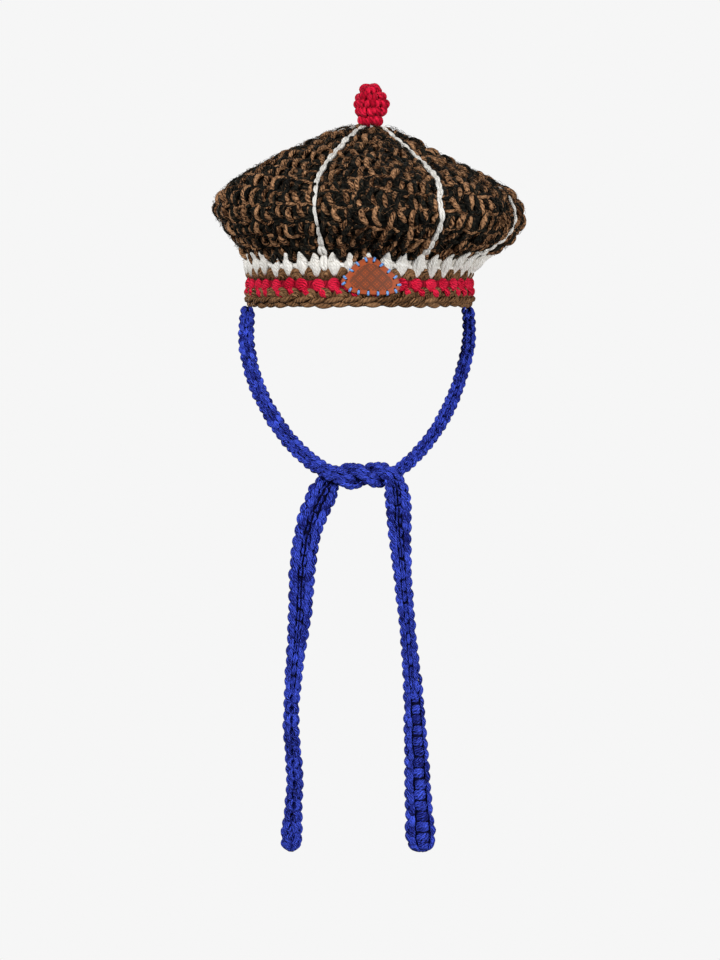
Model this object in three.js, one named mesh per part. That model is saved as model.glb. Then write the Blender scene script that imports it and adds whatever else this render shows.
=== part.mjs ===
// A child's crocheted tam o' shanter with chin ties. Millimetres, +Z up, front towards -Y.
// The origin is the centre of the head opening, in the plane of the rim's lower edge.
import * as THREE from 'three';

// Head opening and headband. Four crocheted rounds are stacked, each a ring of its own colour.
const headRadius = 75;
const bandWall = 5;
const rimHeight = 10.4;
const redHeight = 7.7;
const brownHeight = 5.7;
const whiteHeight = 10;
const seamGap = 0.3;
const ringSegments = 48;

// Crown: a wide soft disc gathered into the band, and puffed out between six stitched lines.
const crownReach = 108;
const crownHeight = 91;
const crownWall = 5;
const panelSegments = 10;
const panelPuff = 6;
const crownLean = 8;
const crownDroop = 4;
const sideFlare = 10;

// White surface-chain lines that lie in the valleys between the panels.
const lineWidth = 3.2;
const lineHeight = 2.4;
const lineSides = 6;
const lineTopGap = 0.6;

// Crocheted knob on the top.
const bobbleRadius = 12;
const bobbleHeight = 29.5;
const bobbleSegments = 14;

// Leather patch on the front of the band.
const patchWidth = 41;
const patchTall = 26;
const patchThickness = 1.8;
const patchLowerEdge = 8;
const patchDegrees = 5.5;
const patchGap = 0.5;
const patchSegments = 32;

// Chin ties. Each is one crocheted cord, drawn here as a plain tube along its route.
const tieDiameter = 8.2;
const tieSides = 8;
const tieSteps = 78;

const bandRadius = headRadius + bandWall;
const redBase = rimHeight + seamGap;
const brownBase = redBase + redHeight + seamGap;
const whiteBase = brownBase + brownHeight + seamGap;
const crownBase = whiteBase + whiteHeight + seamGap;

const radians = (degrees) => (degrees * Math.PI) / 180;

// The six stitched lines that part the panels: where each one stands round the head, and how far
// it swings from there at its foot on the band and at its crest by the bobble, in degrees.
const stitchedLines = [
  { degrees: -21, foot: 3.5, crest: -10 },
  { degrees: 27, foot: 4.5, crest: 20 },
  { degrees: 76, foot: -10, crest: 42 },
  { degrees: 142, foot: -3, crest: 2 },
  { degrees: 206, foot: 3, crest: 3 },
  { degrees: 271, foot: 0, crest: 7 },
];

// Section of one crocheted round, as shares of its wall and of its height, counter-clockwise.
// across runs from the head side to the outside, up from the lower edge to the upper edge.
const roundSection = [
  { across: 0.2, up: 0 },
  { across: 0.8, up: 0 },
  { across: 1, up: 0.3 },
  { across: 1, up: 0.7 },
  { across: 0.86, up: 1 },
  { across: 0.14, up: 1 },
  { across: 0, up: 0.7 },
  { across: 0, up: 0.3 },
];

// Meridian of the crown from the band to the top. reach is a share of the crown's reach, and the
// first row stands on the band instead. lift is a share of the crown's height. swell, lean, droop
// and flare say how much of the puff, of the sideways lean, of the droop to the right and of the
// flare on the right each row takes.
const crownRows = [
  { reach: 0, lift: 0.0, swell: 0.0, lean: 0.0, droop: 0.0, flare: 1.0 },
  { reach: 0.79, lift: 0.035, swell: 0.1, lean: 0.2, droop: 0.3, flare: 0.7 },
  { reach: 0.845, lift: 0.09, swell: 0.35, lean: 0.45, droop: 0.7, flare: 0.35 },
  { reach: 0.905, lift: 0.15, swell: 0.65, lean: 0.7, droop: 1.0, flare: 0.1 },
  { reach: 0.955, lift: 0.225, swell: 0.9, lean: 0.9, droop: 1.1, flare: 0.0 },
  { reach: 0.985, lift: 0.315, swell: 1.0, lean: 0.9, droop: 1.0, flare: 0.0 },
  { reach: 0.975, lift: 0.4, swell: 1.0, lean: 0.9, droop: 0.9, flare: 0.0 },
  { reach: 0.93, lift: 0.478, swell: 0.95, lean: 0.9, droop: 0.7, flare: 0.0 },
  { reach: 0.86, lift: 0.55, swell: 0.9, lean: 0.9, droop: 0.7, flare: 0.0 },
  { reach: 0.765, lift: 0.615, swell: 0.85, lean: 0.9, droop: 0.8, flare: 0.0 },
  { reach: 0.66, lift: 0.68, swell: 0.75, lean: 0.95, droop: 0.95, flare: 0.0 },
  { reach: 0.55, lift: 0.74, swell: 0.65, lean: 0.95, droop: 1.0, flare: 0.0 },
  { reach: 0.435, lift: 0.806, swell: 0.5, lean: 1.0, droop: 1.0, flare: 0.0 },
  { reach: 0.32, lift: 0.875, swell: 0.35, lean: 1.0, droop: 0.8, flare: 0.0 },
  { reach: 0.21, lift: 0.94, swell: 0.2, lean: 1.0, droop: 0.5, flare: 0.0 },
  { reach: 0.117, lift: 0.985, swell: 0.05, lean: 1.0, droop: 0.1, flare: 0.0 },
  { reach: 0.0, lift: 1.0, swell: 0.0, lean: 1.0, droop: 0.0, flare: 0.0 },
];

// Soft folds pressed into the crown: where round the head, how wide, how deep as a share of the
// puff, and round which row, as shares of the way from band to top. A depth below zero is a bulge.
const crownFolds = [
  { degrees: 60, halfWidth: 13, depth: 1.1, middle: 0.62, spread: 0.3 },
  { degrees: -58, halfWidth: 12, depth: 0.5, middle: 0.74, spread: 0.25 },
  { degrees: 2, halfWidth: 10, depth: 0.5, middle: 0.86, spread: 0.22 },
  { degrees: 105, halfWidth: 30, depth: 0.5, middle: 0.22, spread: 0.25 },
  { degrees: 172, halfWidth: 12, depth: 0.6, middle: 0.7, spread: 0.3 },
  { degrees: -122, halfWidth: 12, depth: 0.5, middle: 0.55, spread: 0.28 },
  { degrees: -92, halfWidth: 22, depth: -0.4, middle: 0.3, spread: 0.15 },
];

// Profile of the bobble, as shares of its radius and height.
const bobbleRows = [
  { reach: 0.7, lift: 0.0 },
  { reach: 0.77, lift: 0.14 },
  { reach: 0.91, lift: 0.29 },
  { reach: 1.0, lift: 0.43 },
  { reach: 0.96, lift: 0.57 },
  { reach: 0.88, lift: 0.71 },
  { reach: 0.72, lift: 0.86 },
  { reach: 0.4, lift: 0.97 },
];

// Outline of the patch: a low dome with a wide foot, as shares of its width and height.
const patchOutline = [
  { across: -0.5, up: 0.38 },
  { across: -0.43, up: 0.2 },
  { across: -0.3, up: 0.06 },
  { across: 0.06, up: 0.0 },
  { across: 0.33, up: 0.02 },
  { across: 0.47, up: 0.11 },
  { across: 0.5, up: 0.27 },
  { across: 0.43, up: 0.5 },
  { across: 0.31, up: 0.67 },
  { across: 0.21, up: 0.79 },
  { across: 0.1, up: 0.95 },
  { across: -0.02, up: 1.0 },
  { across: -0.13, up: 0.96 },
  { across: -0.3, up: 0.78 },
  { across: -0.38, up: 0.6 },
];

// Routes of the two ties: down from the rim, round the chin, through the knot and down to the end.
const tieRoutes = {
  tie_left: [
    [-77.6, 0, -0.3],
    [-78.6, 0, -12],
    [-79, -0.5, -24],
    [-77.4, -1.5, -35],
    [-73.6, -3, -50],
    [-67, -4.5, -65.5],
    [-57.6, -6.5, -81.5],
    [-45.5, -8.5, -97],
    [-33.5, -10.5, -108],
    [-23, -11.8, -114.5],
    [-14, -11.9, -118],
    [-9.5, -10.5, -121.5],
    [-5, -7, -122.9],
    [-0.5, -3.5, -121.5],
    [4, -2.1, -118],
    [8.5, -3.5, -114.5],
    [13, -7, -113.1],
    [17.5, -10.5, -114.5],
    [22, -11.9, -118],
    [25.5, -11.6, -125],
    [27, -10, -138],
    [28.4, -8.5, -160],
    [30.6, -8, -190],
    [34.2, -7.5, -230],
    [37.4, -7, -270],
    [39.2, -7, -310],
    [40.8, -7, -345],
    [43, -7, -381.5],
  ],
  tie_right: [
    [75.9, 0, -0.3],
    [76.6, 0, -12],
    [76.6, -0.5, -24],
    [74.6, -1, -35],
    [70.6, -1.5, -50],
    [64.8, -2, -65.5],
    [56.8, -2, -81.5],
    [46.4, -2, -96.5],
    [35.6, -2, -108],
    [28.5, -2, -113.8],
    [22, -2.1, -118],
    [17.5, -3.5, -121.5],
    [13, -7, -122.9],
    [8.5, -10.5, -121.5],
    [4, -11.9, -118],
    [-0.5, -10.5, -114.5],
    [-5, -7, -113.1],
    [-9.5, -3.5, -114.5],
    [-14, -2.1, -118],
    [-21, -2, -123.5],
    [-28, -3, -136],
    [-34.6, -5, -153],
    [-39.4, -6, -180],
    [-41.6, -6, -215],
    [-46, -6, -258],
    [-47.8, -6, -295],
    [-45.4, -6, -328],
    [-46.4, -6, -355],
    [-48.4, -6, -381.5],
  ],
};

const finish = {
  brownBlack: new THREE.MeshStandardMaterial({ color: 0x3f2a1c, roughness: 0.95, metalness: 0 }),
  brown: new THREE.MeshStandardMaterial({ color: 0x7a5238, roughness: 0.95, metalness: 0 }),
  red: new THREE.MeshStandardMaterial({ color: 0xc4102f, roughness: 0.9, metalness: 0 }),
  white: new THREE.MeshStandardMaterial({ color: 0xeceae4, roughness: 0.95, metalness: 0 }),
  blue: new THREE.MeshStandardMaterial({ color: 0x2436b4, roughness: 0.9, metalness: 0 }),
  leather: new THREE.MeshStandardMaterial({ color: 0xa4502a, roughness: 0.6, metalness: 0 }),
};

const part = new THREE.Group();

function add(name, geometry, material) {
  const mesh = new THREE.Mesh(geometry, material.clone());
  mesh.name = name;
  part.add(mesh);
}

// Moves every vertex of a geometry to the place that the function gives for its index.
function reshape(geometry, place) {
  const position = geometry.getAttribute('position');
  for (let index = 0; index < position.count; index += 1) {
    const spot = place(index, new THREE.Vector3().fromBufferAttribute(position, index));
    position.setXYZ(index, spot.x, spot.y, spot.z);
  }
  geometry.computeVertexNormals();
  return geometry;
}

// Azimuth is measured round +Z from the front, positive towards +X.
function outward(azimuth) {
  return new THREE.Vector3(Math.sin(azimuth), -Math.cos(azimuth), 0);
}

// How far the cloth opens outwards where the crown pulls on the right of the band.
function flareAt(azimuth) {
  return sideFlare * ((1 + Math.sin(azimuth)) / 2) ** 3;
}

// The band leans out by this much at a height: nothing below the white round, all of the flare at
// its upper edge.
function bandLean(azimuth, height) {
  return flareAt(azimuth) * Math.max(0, (height - whiteBase) / whiteHeight);
}

// One round of the headband: the section turned round the head, leaning as the band does.
function bandRound(base, height) {
  const points = roundSection.map(
    (row) => new THREE.Vector2(headRadius + row.across * bandWall, base + row.up * height),
  );
  points.push(points[0].clone());
  const ring = new THREE.LatheGeometry(points, ringSegments).rotateX(Math.PI / 2);
  return reshape(ring, (_, at) => {
    const azimuth = Math.atan2(at.x, -at.y);
    return at.addScaledVector(outward(azimuth), bandLean(azimuth, at.z));
  });
}

// The crown's meridian in the plane of radius and height, with the outward normal of each row.
const lastRow = crownRows.length - 1;
const crownMeridian = crownRows.map(
  (row, index) =>
    new THREE.Vector2(index === 0 ? bandRadius : row.reach * crownReach, crownBase + row.lift * crownHeight),
);

function meridianNormal(index) {
  if (index === 0) return new THREE.Vector2(1, 0);
  if (index === lastRow) return new THREE.Vector2(0, 1);
  const before = crownMeridian[index - 1];
  const after = crownMeridian[index + 1];
  return new THREE.Vector2(after.y - before.y, before.x - after.x).normalize();
}

// Azimuth of a stitched line at one row: it swings to its foot below the middle and to its crest
// above it.
function lineAzimuth(line, index) {
  const share = index / lastRow;
  const footShare = Math.max(0, 1 - 3 * share) ** 1.5;
  const crestShare = Math.max(0, share - 0.4) / 0.6;
  return radians(line.degrees + line.foot * footShare + line.crest * crestShare);
}

// A place between two lines: panel number plus the share of the way across that panel.
function panelAzimuth(across, index) {
  const panel = Math.floor(across);
  const turns = Math.floor(panel / stitchedLines.length);
  const from = stitchedLines[panel - turns * stitchedLines.length];
  const next = (panel + 1) % stitchedLines.length;
  const wrap = next === 0 ? 2 * Math.PI : 0;
  const start = lineAzimuth(from, index);
  const end = lineAzimuth(stitchedLines[next], index) + wrap;
  return start + (end - start) * (across - panel) + turns * 2 * Math.PI;
}

// How far the cloth stands out between two lines, from 0 on a line to 1 in the middle of a panel.
function puffShare(across) {
  return (1 - Math.cos(2 * Math.PI * across)) / 2;
}

function foldShare(azimuth, rowShare) {
  return crownFolds.reduce((sum, fold) => {
    const turn = azimuth - radians(fold.degrees);
    const sideways = Math.atan2(Math.sin(turn), Math.cos(turn)) / radians(fold.halfWidth);
    const along = (rowShare - fold.middle) / fold.spread;
    return sum + fold.depth * Math.exp(-sideways * sideways - along * along);
  }, 0);
}

// A point of the crown's cloth: row of the meridian, azimuth, share of the puff, and height above
// the outer face.
function crownPoint(index, azimuth, puff, above) {
  const row = crownRows[index];
  const swell = row.swell * panelPuff * (puff - foldShare(azimuth, index / lastRow));
  const flat = crownMeridian[index].clone().addScaledVector(meridianNormal(index), swell + above);
  const point = outward(azimuth).multiplyScalar(flat.x + row.flare * flareAt(azimuth));
  point.x += row.lean * crownLean;
  point.z = flat.y - row.droop * crownDroop * Math.sin(azimuth);
  return point;
}

function crownShell() {
  const outer = crownRows.map((_, index) => ({ index, above: 0 })).reverse();
  const inner = crownRows.map((_, index) => ({ index, above: -crownWall }));
  const rows = outer.concat(inner);
  const segments = stitchedLines.length * panelSegments;
  const points = rows.map(({ index }) => crownMeridian[index].clone());
  return reshape(new THREE.LatheGeometry(points, segments), (vertex) => {
    const across = (segments - (Math.floor(vertex / rows.length) % segments)) / panelSegments;
    const { index, above } = rows[vertex % rows.length];
    const azimuth = index === lastRow ? 0 : panelAzimuth(across, index);
    return crownPoint(index, azimuth, index === lastRow ? 0 : puffShare(across), above);
  });
}

// A white line: a thin rounded bar laid along one valley, resting just above the cloth.
const lineRows = crownRows.map((_, index) => index)
  .filter((index) => crownMeridian[index].x > bobbleRadius + lineTopGap);

function crownLine(line) {
  const steps = lineRows.length - 1;
  const bar = new THREE.CylinderGeometry(0.5, 0.5, 1, lineSides, steps);
  return reshape(bar, (_, at) => {
    const index = lineRows[Math.round((at.y + 0.5) * steps)];
    const azimuth = lineAzimuth(line, index) + (at.x * lineWidth) / crownMeridian[index].x;
    return crownPoint(index, azimuth, 0, seamGap + (at.z + 0.5) * lineHeight);
  });
}

function bobbleShape() {
  const base = crownBase + crownHeight + seamGap;
  const points = bobbleRows.map((row) => new THREE.Vector2(row.reach * bobbleRadius, base + row.lift * bobbleHeight));
  points.unshift(new THREE.Vector2(0, base));
  points.push(new THREE.Vector2(0, base + bobbleHeight));
  return new THREE.LatheGeometry(points, bobbleSegments).rotateX(Math.PI / 2).translate(crownLean, 0, 0);
}

// The patch: a flat disc whose edge is drawn out to the outline, then bent round the band.
function patchShape() {
  const outline = new THREE.CatmullRomCurve3(
    patchOutline.map((row) => new THREE.Vector3(row.across * patchWidth, row.up * patchTall, 0)),
    true,
  ).getPoints(patchSegments);
  const middle = new THREE.Vector3(0, patchTall * 0.42, 0);
  const rings = [
    { out: 0, face: 0 },
    { out: 0.5, face: 0 },
    { out: 1, face: 0 },
    { out: 1, face: 1 },
    { out: 0.5, face: 1 },
    { out: 0, face: 1 },
  ];
  const disc = new THREE.LatheGeometry(
    rings.map((ring) => new THREE.Vector2(ring.out, ring.face)),
    patchSegments,
  );
  return reshape(disc, (vertex) => {
    const edge = outline[Math.floor(vertex / rings.length) % patchSegments];
    const ring = rings[vertex % rings.length];
    const flat = middle.clone().lerp(edge, ring.out);
    const azimuth = radians(patchDegrees) + flat.x / bandRadius;
    const height = patchLowerEdge + flat.y;
    const radius = bandRadius + bandLean(azimuth, height) + patchGap + ring.face * patchThickness;
    const spot = outward(azimuth).multiplyScalar(radius);
    spot.z = height;
    return spot;
  });
}

// A tie: a round section carried along its route.
function tieShape(route) {
  const path = new THREE.CatmullRomCurve3(route.map(([x, y, z]) => new THREE.Vector3(x, y, z)), false, 'centripetal');
  const corners = Array.from({ length: tieSides }, (_, index) => {
    const turn = (index / tieSides) * 2 * Math.PI;
    return new THREE.Vector2(Math.cos(turn), Math.sin(turn)).multiplyScalar(tieDiameter / 2);
  });
  return new THREE.ExtrudeGeometry(new THREE.Shape(corners), { steps: tieSteps, extrudePath: path, bevelEnabled: false });
}

add('band_rim', bandRound(0, rimHeight), finish.brown);
add('band_red_round', bandRound(redBase, redHeight), finish.red);
add('band_brown_round', bandRound(brownBase, brownHeight), finish.brown);
add('band_white_round', bandRound(whiteBase, whiteHeight), finish.white);
add('crown', crownShell(), finish.brownBlack);
stitchedLines.forEach((line, index) => add(`crown_line_${index + 1}`, crownLine(line), finish.white));
add('bobble', bobbleShape(), finish.red);
add('patch', patchShape(), finish.leather);
Object.entries(tieRoutes).forEach(([name, route]) => add(name, tieShape(route), finish.blue));

export default part;
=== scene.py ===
# %% [markdown]
# # A crocheted tam o' shanter, stitch by stitch
#
# The real hat is worked by hand in thick wool: a wide crown of brown and black yarn held together,
# a headband of four coloured rounds, a small red knob, a leather patch and two blue chin ties.
# Up close nothing on it is smooth, because every stitch is a loop of yarn. One could fake that with a
# bump map on a plain cap. Here each stitch is laid as real strands of yarn, because the stitches make
# the outline ragged, throw shadows on each other and still look right from any side.
#
# First the imported CAD model is loaded. It is the fixed frame.

# %% Load the frame
from functools import partial

import bpy
import numpy as np
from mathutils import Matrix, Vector


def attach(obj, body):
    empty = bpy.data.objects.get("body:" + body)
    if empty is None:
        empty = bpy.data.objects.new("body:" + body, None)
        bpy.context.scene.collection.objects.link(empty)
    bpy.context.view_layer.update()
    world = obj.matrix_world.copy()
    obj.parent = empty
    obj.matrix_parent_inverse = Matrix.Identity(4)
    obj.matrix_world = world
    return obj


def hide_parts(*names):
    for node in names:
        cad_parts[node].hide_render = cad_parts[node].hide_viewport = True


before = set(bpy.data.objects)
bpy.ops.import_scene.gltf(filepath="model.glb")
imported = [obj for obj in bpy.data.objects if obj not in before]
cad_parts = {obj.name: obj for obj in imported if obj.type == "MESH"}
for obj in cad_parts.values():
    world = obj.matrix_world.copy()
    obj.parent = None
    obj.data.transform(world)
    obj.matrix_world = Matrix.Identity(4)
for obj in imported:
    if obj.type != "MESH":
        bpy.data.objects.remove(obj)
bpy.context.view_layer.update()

# %% [markdown]
# ## The camera
#
# The photograph is taken straight from the front with a long lens, a little above the ties. The
# camera stands 2.6 m in front of the hat, at the height of the band, and looks slightly down, so that
# the crown's far rim and the band's curve fall where they do in the picture. Lengths in this script
# are millimetres, as in the CAD source, and they become metres only when they enter Blender.

# %% Camera
MM = 0.001
CAMERA_SPOT = (0.35, -2600.0, 20.0)
CAMERA_AIM = (0.35, 0.0, -121.5)
MM_PER_PIXEL = 0.70
IMAGE_HEIGHT = 960
FAR_CLIP = 20000.0


def add_object(name, data):
    """A new object in the scene."""
    made = bpy.data.objects.new(name, data)
    bpy.context.scene.collection.objects.link(made)
    return made


camera_data = bpy.data.cameras.new("camera")
camera = add_object("camera", camera_data)
bpy.context.scene.camera = camera
sight = Vector(CAMERA_AIM) - Vector(CAMERA_SPOT)
camera.location = Vector(CAMERA_SPOT) * MM
camera.rotation_euler = sight.to_track_quat("-Z", "Y").to_euler()
camera_data.lens = camera_data.sensor_width * sight.length / (IMAGE_HEIGHT * MM_PER_PIXEL)
camera_data.clip_end = FAR_CLIP * MM
print("camera lens:", round(camera_data.lens, 1), "mm")

# %% [markdown]
# ## Studio: a white sweep and soft lights
#
# The hat was photographed against plain off-white with soft light from the upper left. A lit floor
# would show a horizon and a shadow, and the picture has neither. So the floor is a wide round bowl that
# curves up into a wall and glows evenly, as a lit white sweep does. It stands round the camera as well,
# so the hat has the same white behind it from every side. The glow itself lights nothing: large soft
# lamps shape the wool, and only a dim sky adds to them, so that the gaps between stitches stay dark.

# %% Floor and backdrop
SWEEP_WHITE = 0.9216
FLOOR_LEVEL = -620.0
SWEEP_RADIUS = 900.0
FLOOR_REACH = 3000.0
WALL_TOP = 4000.0
SWEEP_SIDES = 96
SWEEP_BENDS = 24


def sweep_bowl():
    """Points and faces of a floor that turns up into a round wall: a profile of floor, quarter circle and
    wall, turned round the upright axis."""
    turn = np.linspace(0, np.pi / 2, SWEEP_BENDS)
    reach = np.concatenate([[1], FLOOR_REACH + SWEEP_RADIUS * np.sin(turn), [FLOOR_REACH + SWEEP_RADIUS]])
    height = np.concatenate([[0], SWEEP_RADIUS * (1 - np.cos(turn)), [WALL_TOP]]) + FLOOR_LEVEL
    azimuth = np.arange(SWEEP_SIDES)[:, None] * 2 * np.pi / SWEEP_SIDES
    up = np.broadcast_to(height, (SWEEP_SIDES, len(height)))
    points = np.stack([reach * np.cos(azimuth), reach * np.sin(azimuth), up], -1)
    here = np.arange(up.size).reshape(up.shape)
    aside = np.roll(here, -1, axis=0)
    walls = np.stack([here[:, :-1], here[:, 1:], aside[:, 1:], aside[:, :-1]], -1)
    return points.reshape(-1, 3) * MM, [*walls.reshape(-1, 4).tolist(), here[:, 0].tolist()]


def new_finish(name, inputs):
    """A material and its shader, which gets the input values that are given by name."""
    finish = bpy.data.materials.new(name)
    finish.use_nodes = True
    shader = finish.node_tree.nodes["Principled BSDF"]
    for key, value in inputs.items():
        shader.inputs[key].default_value = value
    return finish, shader


sweep_points, sweep_faces = sweep_bowl()
floor_mesh = bpy.data.meshes.new("white_sweep")
floor_mesh.from_pydata(sweep_points.tolist(), [], sweep_faces)
floor = add_object("white_sweep", floor_mesh)
sweep_finish, _ = new_finish("white_sweep", {
    "Base Color": (0, 0, 0, 1), "Specular IOR Level": 0,
    "Emission Color": (SWEEP_WHITE, SWEEP_WHITE, SWEEP_WHITE, 1), "Emission Strength": 1,
})
floor_mesh.materials.append(sweep_finish)
floor.visible_diffuse = False
floor.visible_glossy = False

# %% Lights
SKY_LIGHT = 0.15


def soft_lamp(name, spot, size, watts):
    """A square area lamp at a spot in mm, turned towards the hat."""
    lamp_data = bpy.data.lights.new(name, "AREA")
    lamp_data.size = size * MM
    lamp_data.energy = watts
    lamp = add_object(name, lamp_data)
    lamp.location = Vector(spot) * MM
    lamp.rotation_euler = (Vector((0, 0, 0)) - Vector(spot)).to_track_quat("-Z", "Y").to_euler()


soft_lamp("key_lamp", (-1400, -1800, 1100), 500, 56)
soft_lamp("fill_lamp", (1700, -1600, -100), 900, 42)
soft_lamp("back_lamp", (300, 1500, 1500), 900, 10)
soft_lamp("low_back_lamp", (-900, 2300, 0), 1200, 30)

world = bpy.data.worlds.new("studio")
bpy.context.scene.world = world
world.use_nodes = True
world.node_tree.nodes["Background"].inputs["Color"].default_value = (SKY_LIGHT, SKY_LIGHT, SKY_LIGHT, 1)
bpy.context.scene.view_settings.view_transform = "Standard"

# %% [markdown]
# ## Many tubes as one mesh
#
# Everything woolly on the hat is a tube: a strand of yarn, a tie's core, a ring of cloth. A tube is a
# grid of points, with rings along it and sides round it. numpy makes thousands of such grids at once,
# and one index pattern closes them all into a mesh. Beside its points each tube carries three things
# that the materials read: its UV map has the distance along the tube in millimetres and the share of
# the way round, its dye attribute says which yarn it is and, on the cloth under the stitches and in
# the patch's needle holes, how much painted shade it gets, and "tint" is a small random change of
# shade.

# %% Tubes to mesh


def unit(vectors):
    """Each vector divided by its own length."""
    return vectors / np.maximum(np.linalg.norm(vectors, axis=-1, keepdims=True), 1e-12)


def side_by_side(*values):
    """The values as the last axis of one array, each spread over the shape of all."""
    return np.stack(np.broadcast_arrays(*values), -1)


def tube_parts(points, dye_or_shade=0.0, tint=0.0, closed=False):
    """Faces of many tubes. points is [tubes, rings, sides, 3]; ring i joins ring i + 1, side j joins
    side j + 1, and a tube that is not closed on itself gets a flat cap at both ends."""
    tubes, rings, sides = points.shape[:3]
    index = np.arange(tubes * rings * sides).reshape(tubes, rings, sides)
    ahead = np.roll(index, -1, 1)
    here = index if closed else index[:, :-1]
    ahead = ahead if closed else ahead[:, :-1]
    quads = np.stack([here, ahead, np.roll(ahead, -1, 2), np.roll(here, -1, 2)], -1)
    centre = points.mean(2)
    step = np.linalg.norm(np.diff(centre, axis=1, append=centre[:, :1]), axis=-1)
    reach = np.concatenate([np.zeros((tubes, 1)), np.cumsum(step, 1)], 1)
    low, high = reach[:, : here.shape[1]], reach[:, 1 : here.shape[1] + 1]
    turn = np.arange(sides) / sides
    quad_uv = np.empty(quads.shape + (2,))
    quad_uv[..., 0, 0] = quad_uv[..., 3, 0] = low[..., None]
    quad_uv[..., 1, 0] = quad_uv[..., 2, 0] = high[..., None]
    quad_uv[..., 0, 1] = quad_uv[..., 1, 1] = turn
    quad_uv[..., 2, 1] = quad_uv[..., 3, 1] = turn + 1 / sides
    caps = np.concatenate([index[:, 0], index[:, -1, ::-1]]) if not closed else np.empty((0, sides), int)
    cap_uv = np.zeros(caps.shape + (2,))
    cap_uv[..., 0] = np.concatenate([reach[:, 0], reach[:, rings - 1]])[: len(caps), None]
    cap_uv[..., 1] = turn
    shade = [np.broadcast_to(np.reshape(x, (-1, 1)), (tubes, rings * sides)).ravel() for x in (dye_or_shade, tint)]
    return {
        "points": points.reshape(-1, 3),
        "faces": [quads.reshape(-1, 4), caps],
        "uv": [quad_uv.reshape(-1, 2), cap_uv.reshape(-1, 2)],
        "dye_or_shade": shade[0],
        "tint": shade[1],
    }


def knit_piece(name, parts, finish, slot, *replaced):
    """One object out of several sets of tubes, with its UV map, its tint and its dye attribute, which on the
    cloth behind the stitches and in needle holes holds painted shade. It rides on the only body, takes the
    finish that it is given and stands for the CAD nodes that are named, which it hides. slot is not used."""
    first = np.cumsum([0] + [len(p["points"]) for p in parts])
    points = np.concatenate([p["points"] for p in parts]) * MM
    faces = [f + start for p, start in zip(parts, first) for f in p["faces"] if len(f)]
    uv = np.concatenate([u for p in parts for u in p["uv"]])
    sides = np.concatenate([np.full(len(f), f.shape[1]) for f in faces])
    mesh = bpy.data.meshes.new(name)
    mesh.vertices.add(len(points))
    mesh.loops.add(int(sides.sum()))
    mesh.polygons.add(len(sides))
    mesh.vertices.foreach_set("co", points.astype(np.float32).ravel())
    mesh.loops.foreach_set("vertex_index", np.concatenate([f.ravel() for f in faces]).astype(np.int32))
    mesh.polygons.foreach_set("loop_start", (np.cumsum(sides) - sides).astype(np.int32))
    mesh.polygons.foreach_set("use_smooth", np.ones(len(sides), bool))
    mesh.update(calc_edges=True)
    mesh.uv_layers.new(name="yarn").uv.foreach_set("vector", uv.astype(np.float32).ravel())
    for key in ("dye_or_shade", "tint"):
        values = np.concatenate([p[key] for p in parts])
        mesh.attributes.new(key, "FLOAT", "POINT").data.foreach_set("value", values.astype(np.float32))
    mesh.materials.append(finish)
    piece = add_object(name, mesh)
    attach(piece, "root")
    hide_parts(*replaced)
    print(name, "has", int((sides - 2).sum()), "triangles")
    return piece


def cross_ways(lines, outward):
    """At each point of many lines, the direction across the line and the one away from the cloth."""
    along = unit(np.gradient(lines, axis=1))
    across = unit(np.cross(along, outward))
    return across, np.cross(across, along)


def strand_points(lines, outward, radius, sides=6):
    """Round tubes along many lines. At each point the two ways across the line span a circle:
    line + radius * (cos(turn) * across + sin(turn) * away)."""
    across, away = cross_ways(lines, outward)
    turn = 2 * np.pi * np.arange(sides) / sides
    ring = np.cos(turn)[:, None] * across[:, :, None] + np.sin(turn)[:, None] * away[:, :, None]
    return lines[:, :, None] + np.broadcast_to(radius, lines.shape[:2])[..., None, None] * ring


# %% [markdown]
# ## Laying stitches on cloth
#
# A stitch is drawn once as a few lines in a unit cell: across the stitch from 0 to 1, up the stitch
# from 0 to 1, and out of the cloth in millimetres. The cloth is a function that turns two
# coordinates into a point and its outward direction. Laying a stitch means running its lines through
# that function in every cell, each time pushed about a little, because no two loops made by hand are
# alike.

# %% Lay stitches
STEPS = 9
# A hand's unevenness: how much a stitch leans, shears and tilts for each share that it is shifted by.
UNEVEN_LEAN = 1.2
UNEVEN_SHEAR = 0.8
UNEVEN_TILT = 1.5
# A wound pair's depth away from the cloth, as a share of its spread along it.
PAIR_DEPTH = 0.5


def sway(steps):
    """Shares of the way along a strand, from 0 to 1."""
    return np.linspace(0, 1, steps)


# Every strand of a stitch has the same steps. Most of them rise and fall with half a sine wave.
WAY = sway(STEPS)
ARCH = np.sin(np.pi * WAY)


def lay(cloth, cells, stitch, rng, wobble=0.06, lift=0.25):
    """Lines of every stitch on the cloth. A cell is (u, v, width, height) in the cloth's coordinates, and
    a line's point goes to cloth(u + across * width, v + up * height) plus out times the outward
    direction, where across, up and out have each been changed a little per stitch."""
    count = len(cells)
    push = rng.normal(0, 1, (count, 6, 1, 1))
    across, up, out = (stitch[None, ..., i] for i in range(3))
    across = across + wobble * (push[:, 0] + UNEVEN_LEAN * push[:, 1] * (up - 0.5))
    up = up + wobble * (push[:, 2] + UNEVEN_SHEAR * push[:, 3] * (across - 0.5))
    out = out + lift * (push[:, 4] + UNEVEN_TILT * push[:, 5] * (across - 0.5))
    u = cells[:, 0, None, None] + across * cells[:, 2, None, None]
    v = cells[:, 1, None, None] + up * cells[:, 3, None, None]
    point, outward = cloth(u, v)
    lines = point + out[..., None] * outward
    strands = stitch.shape[0]
    shape = (count * strands, stitch.shape[1], 3)
    return lines.reshape(shape), np.broadcast_to(outward, lines.shape).reshape(shape)


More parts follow.
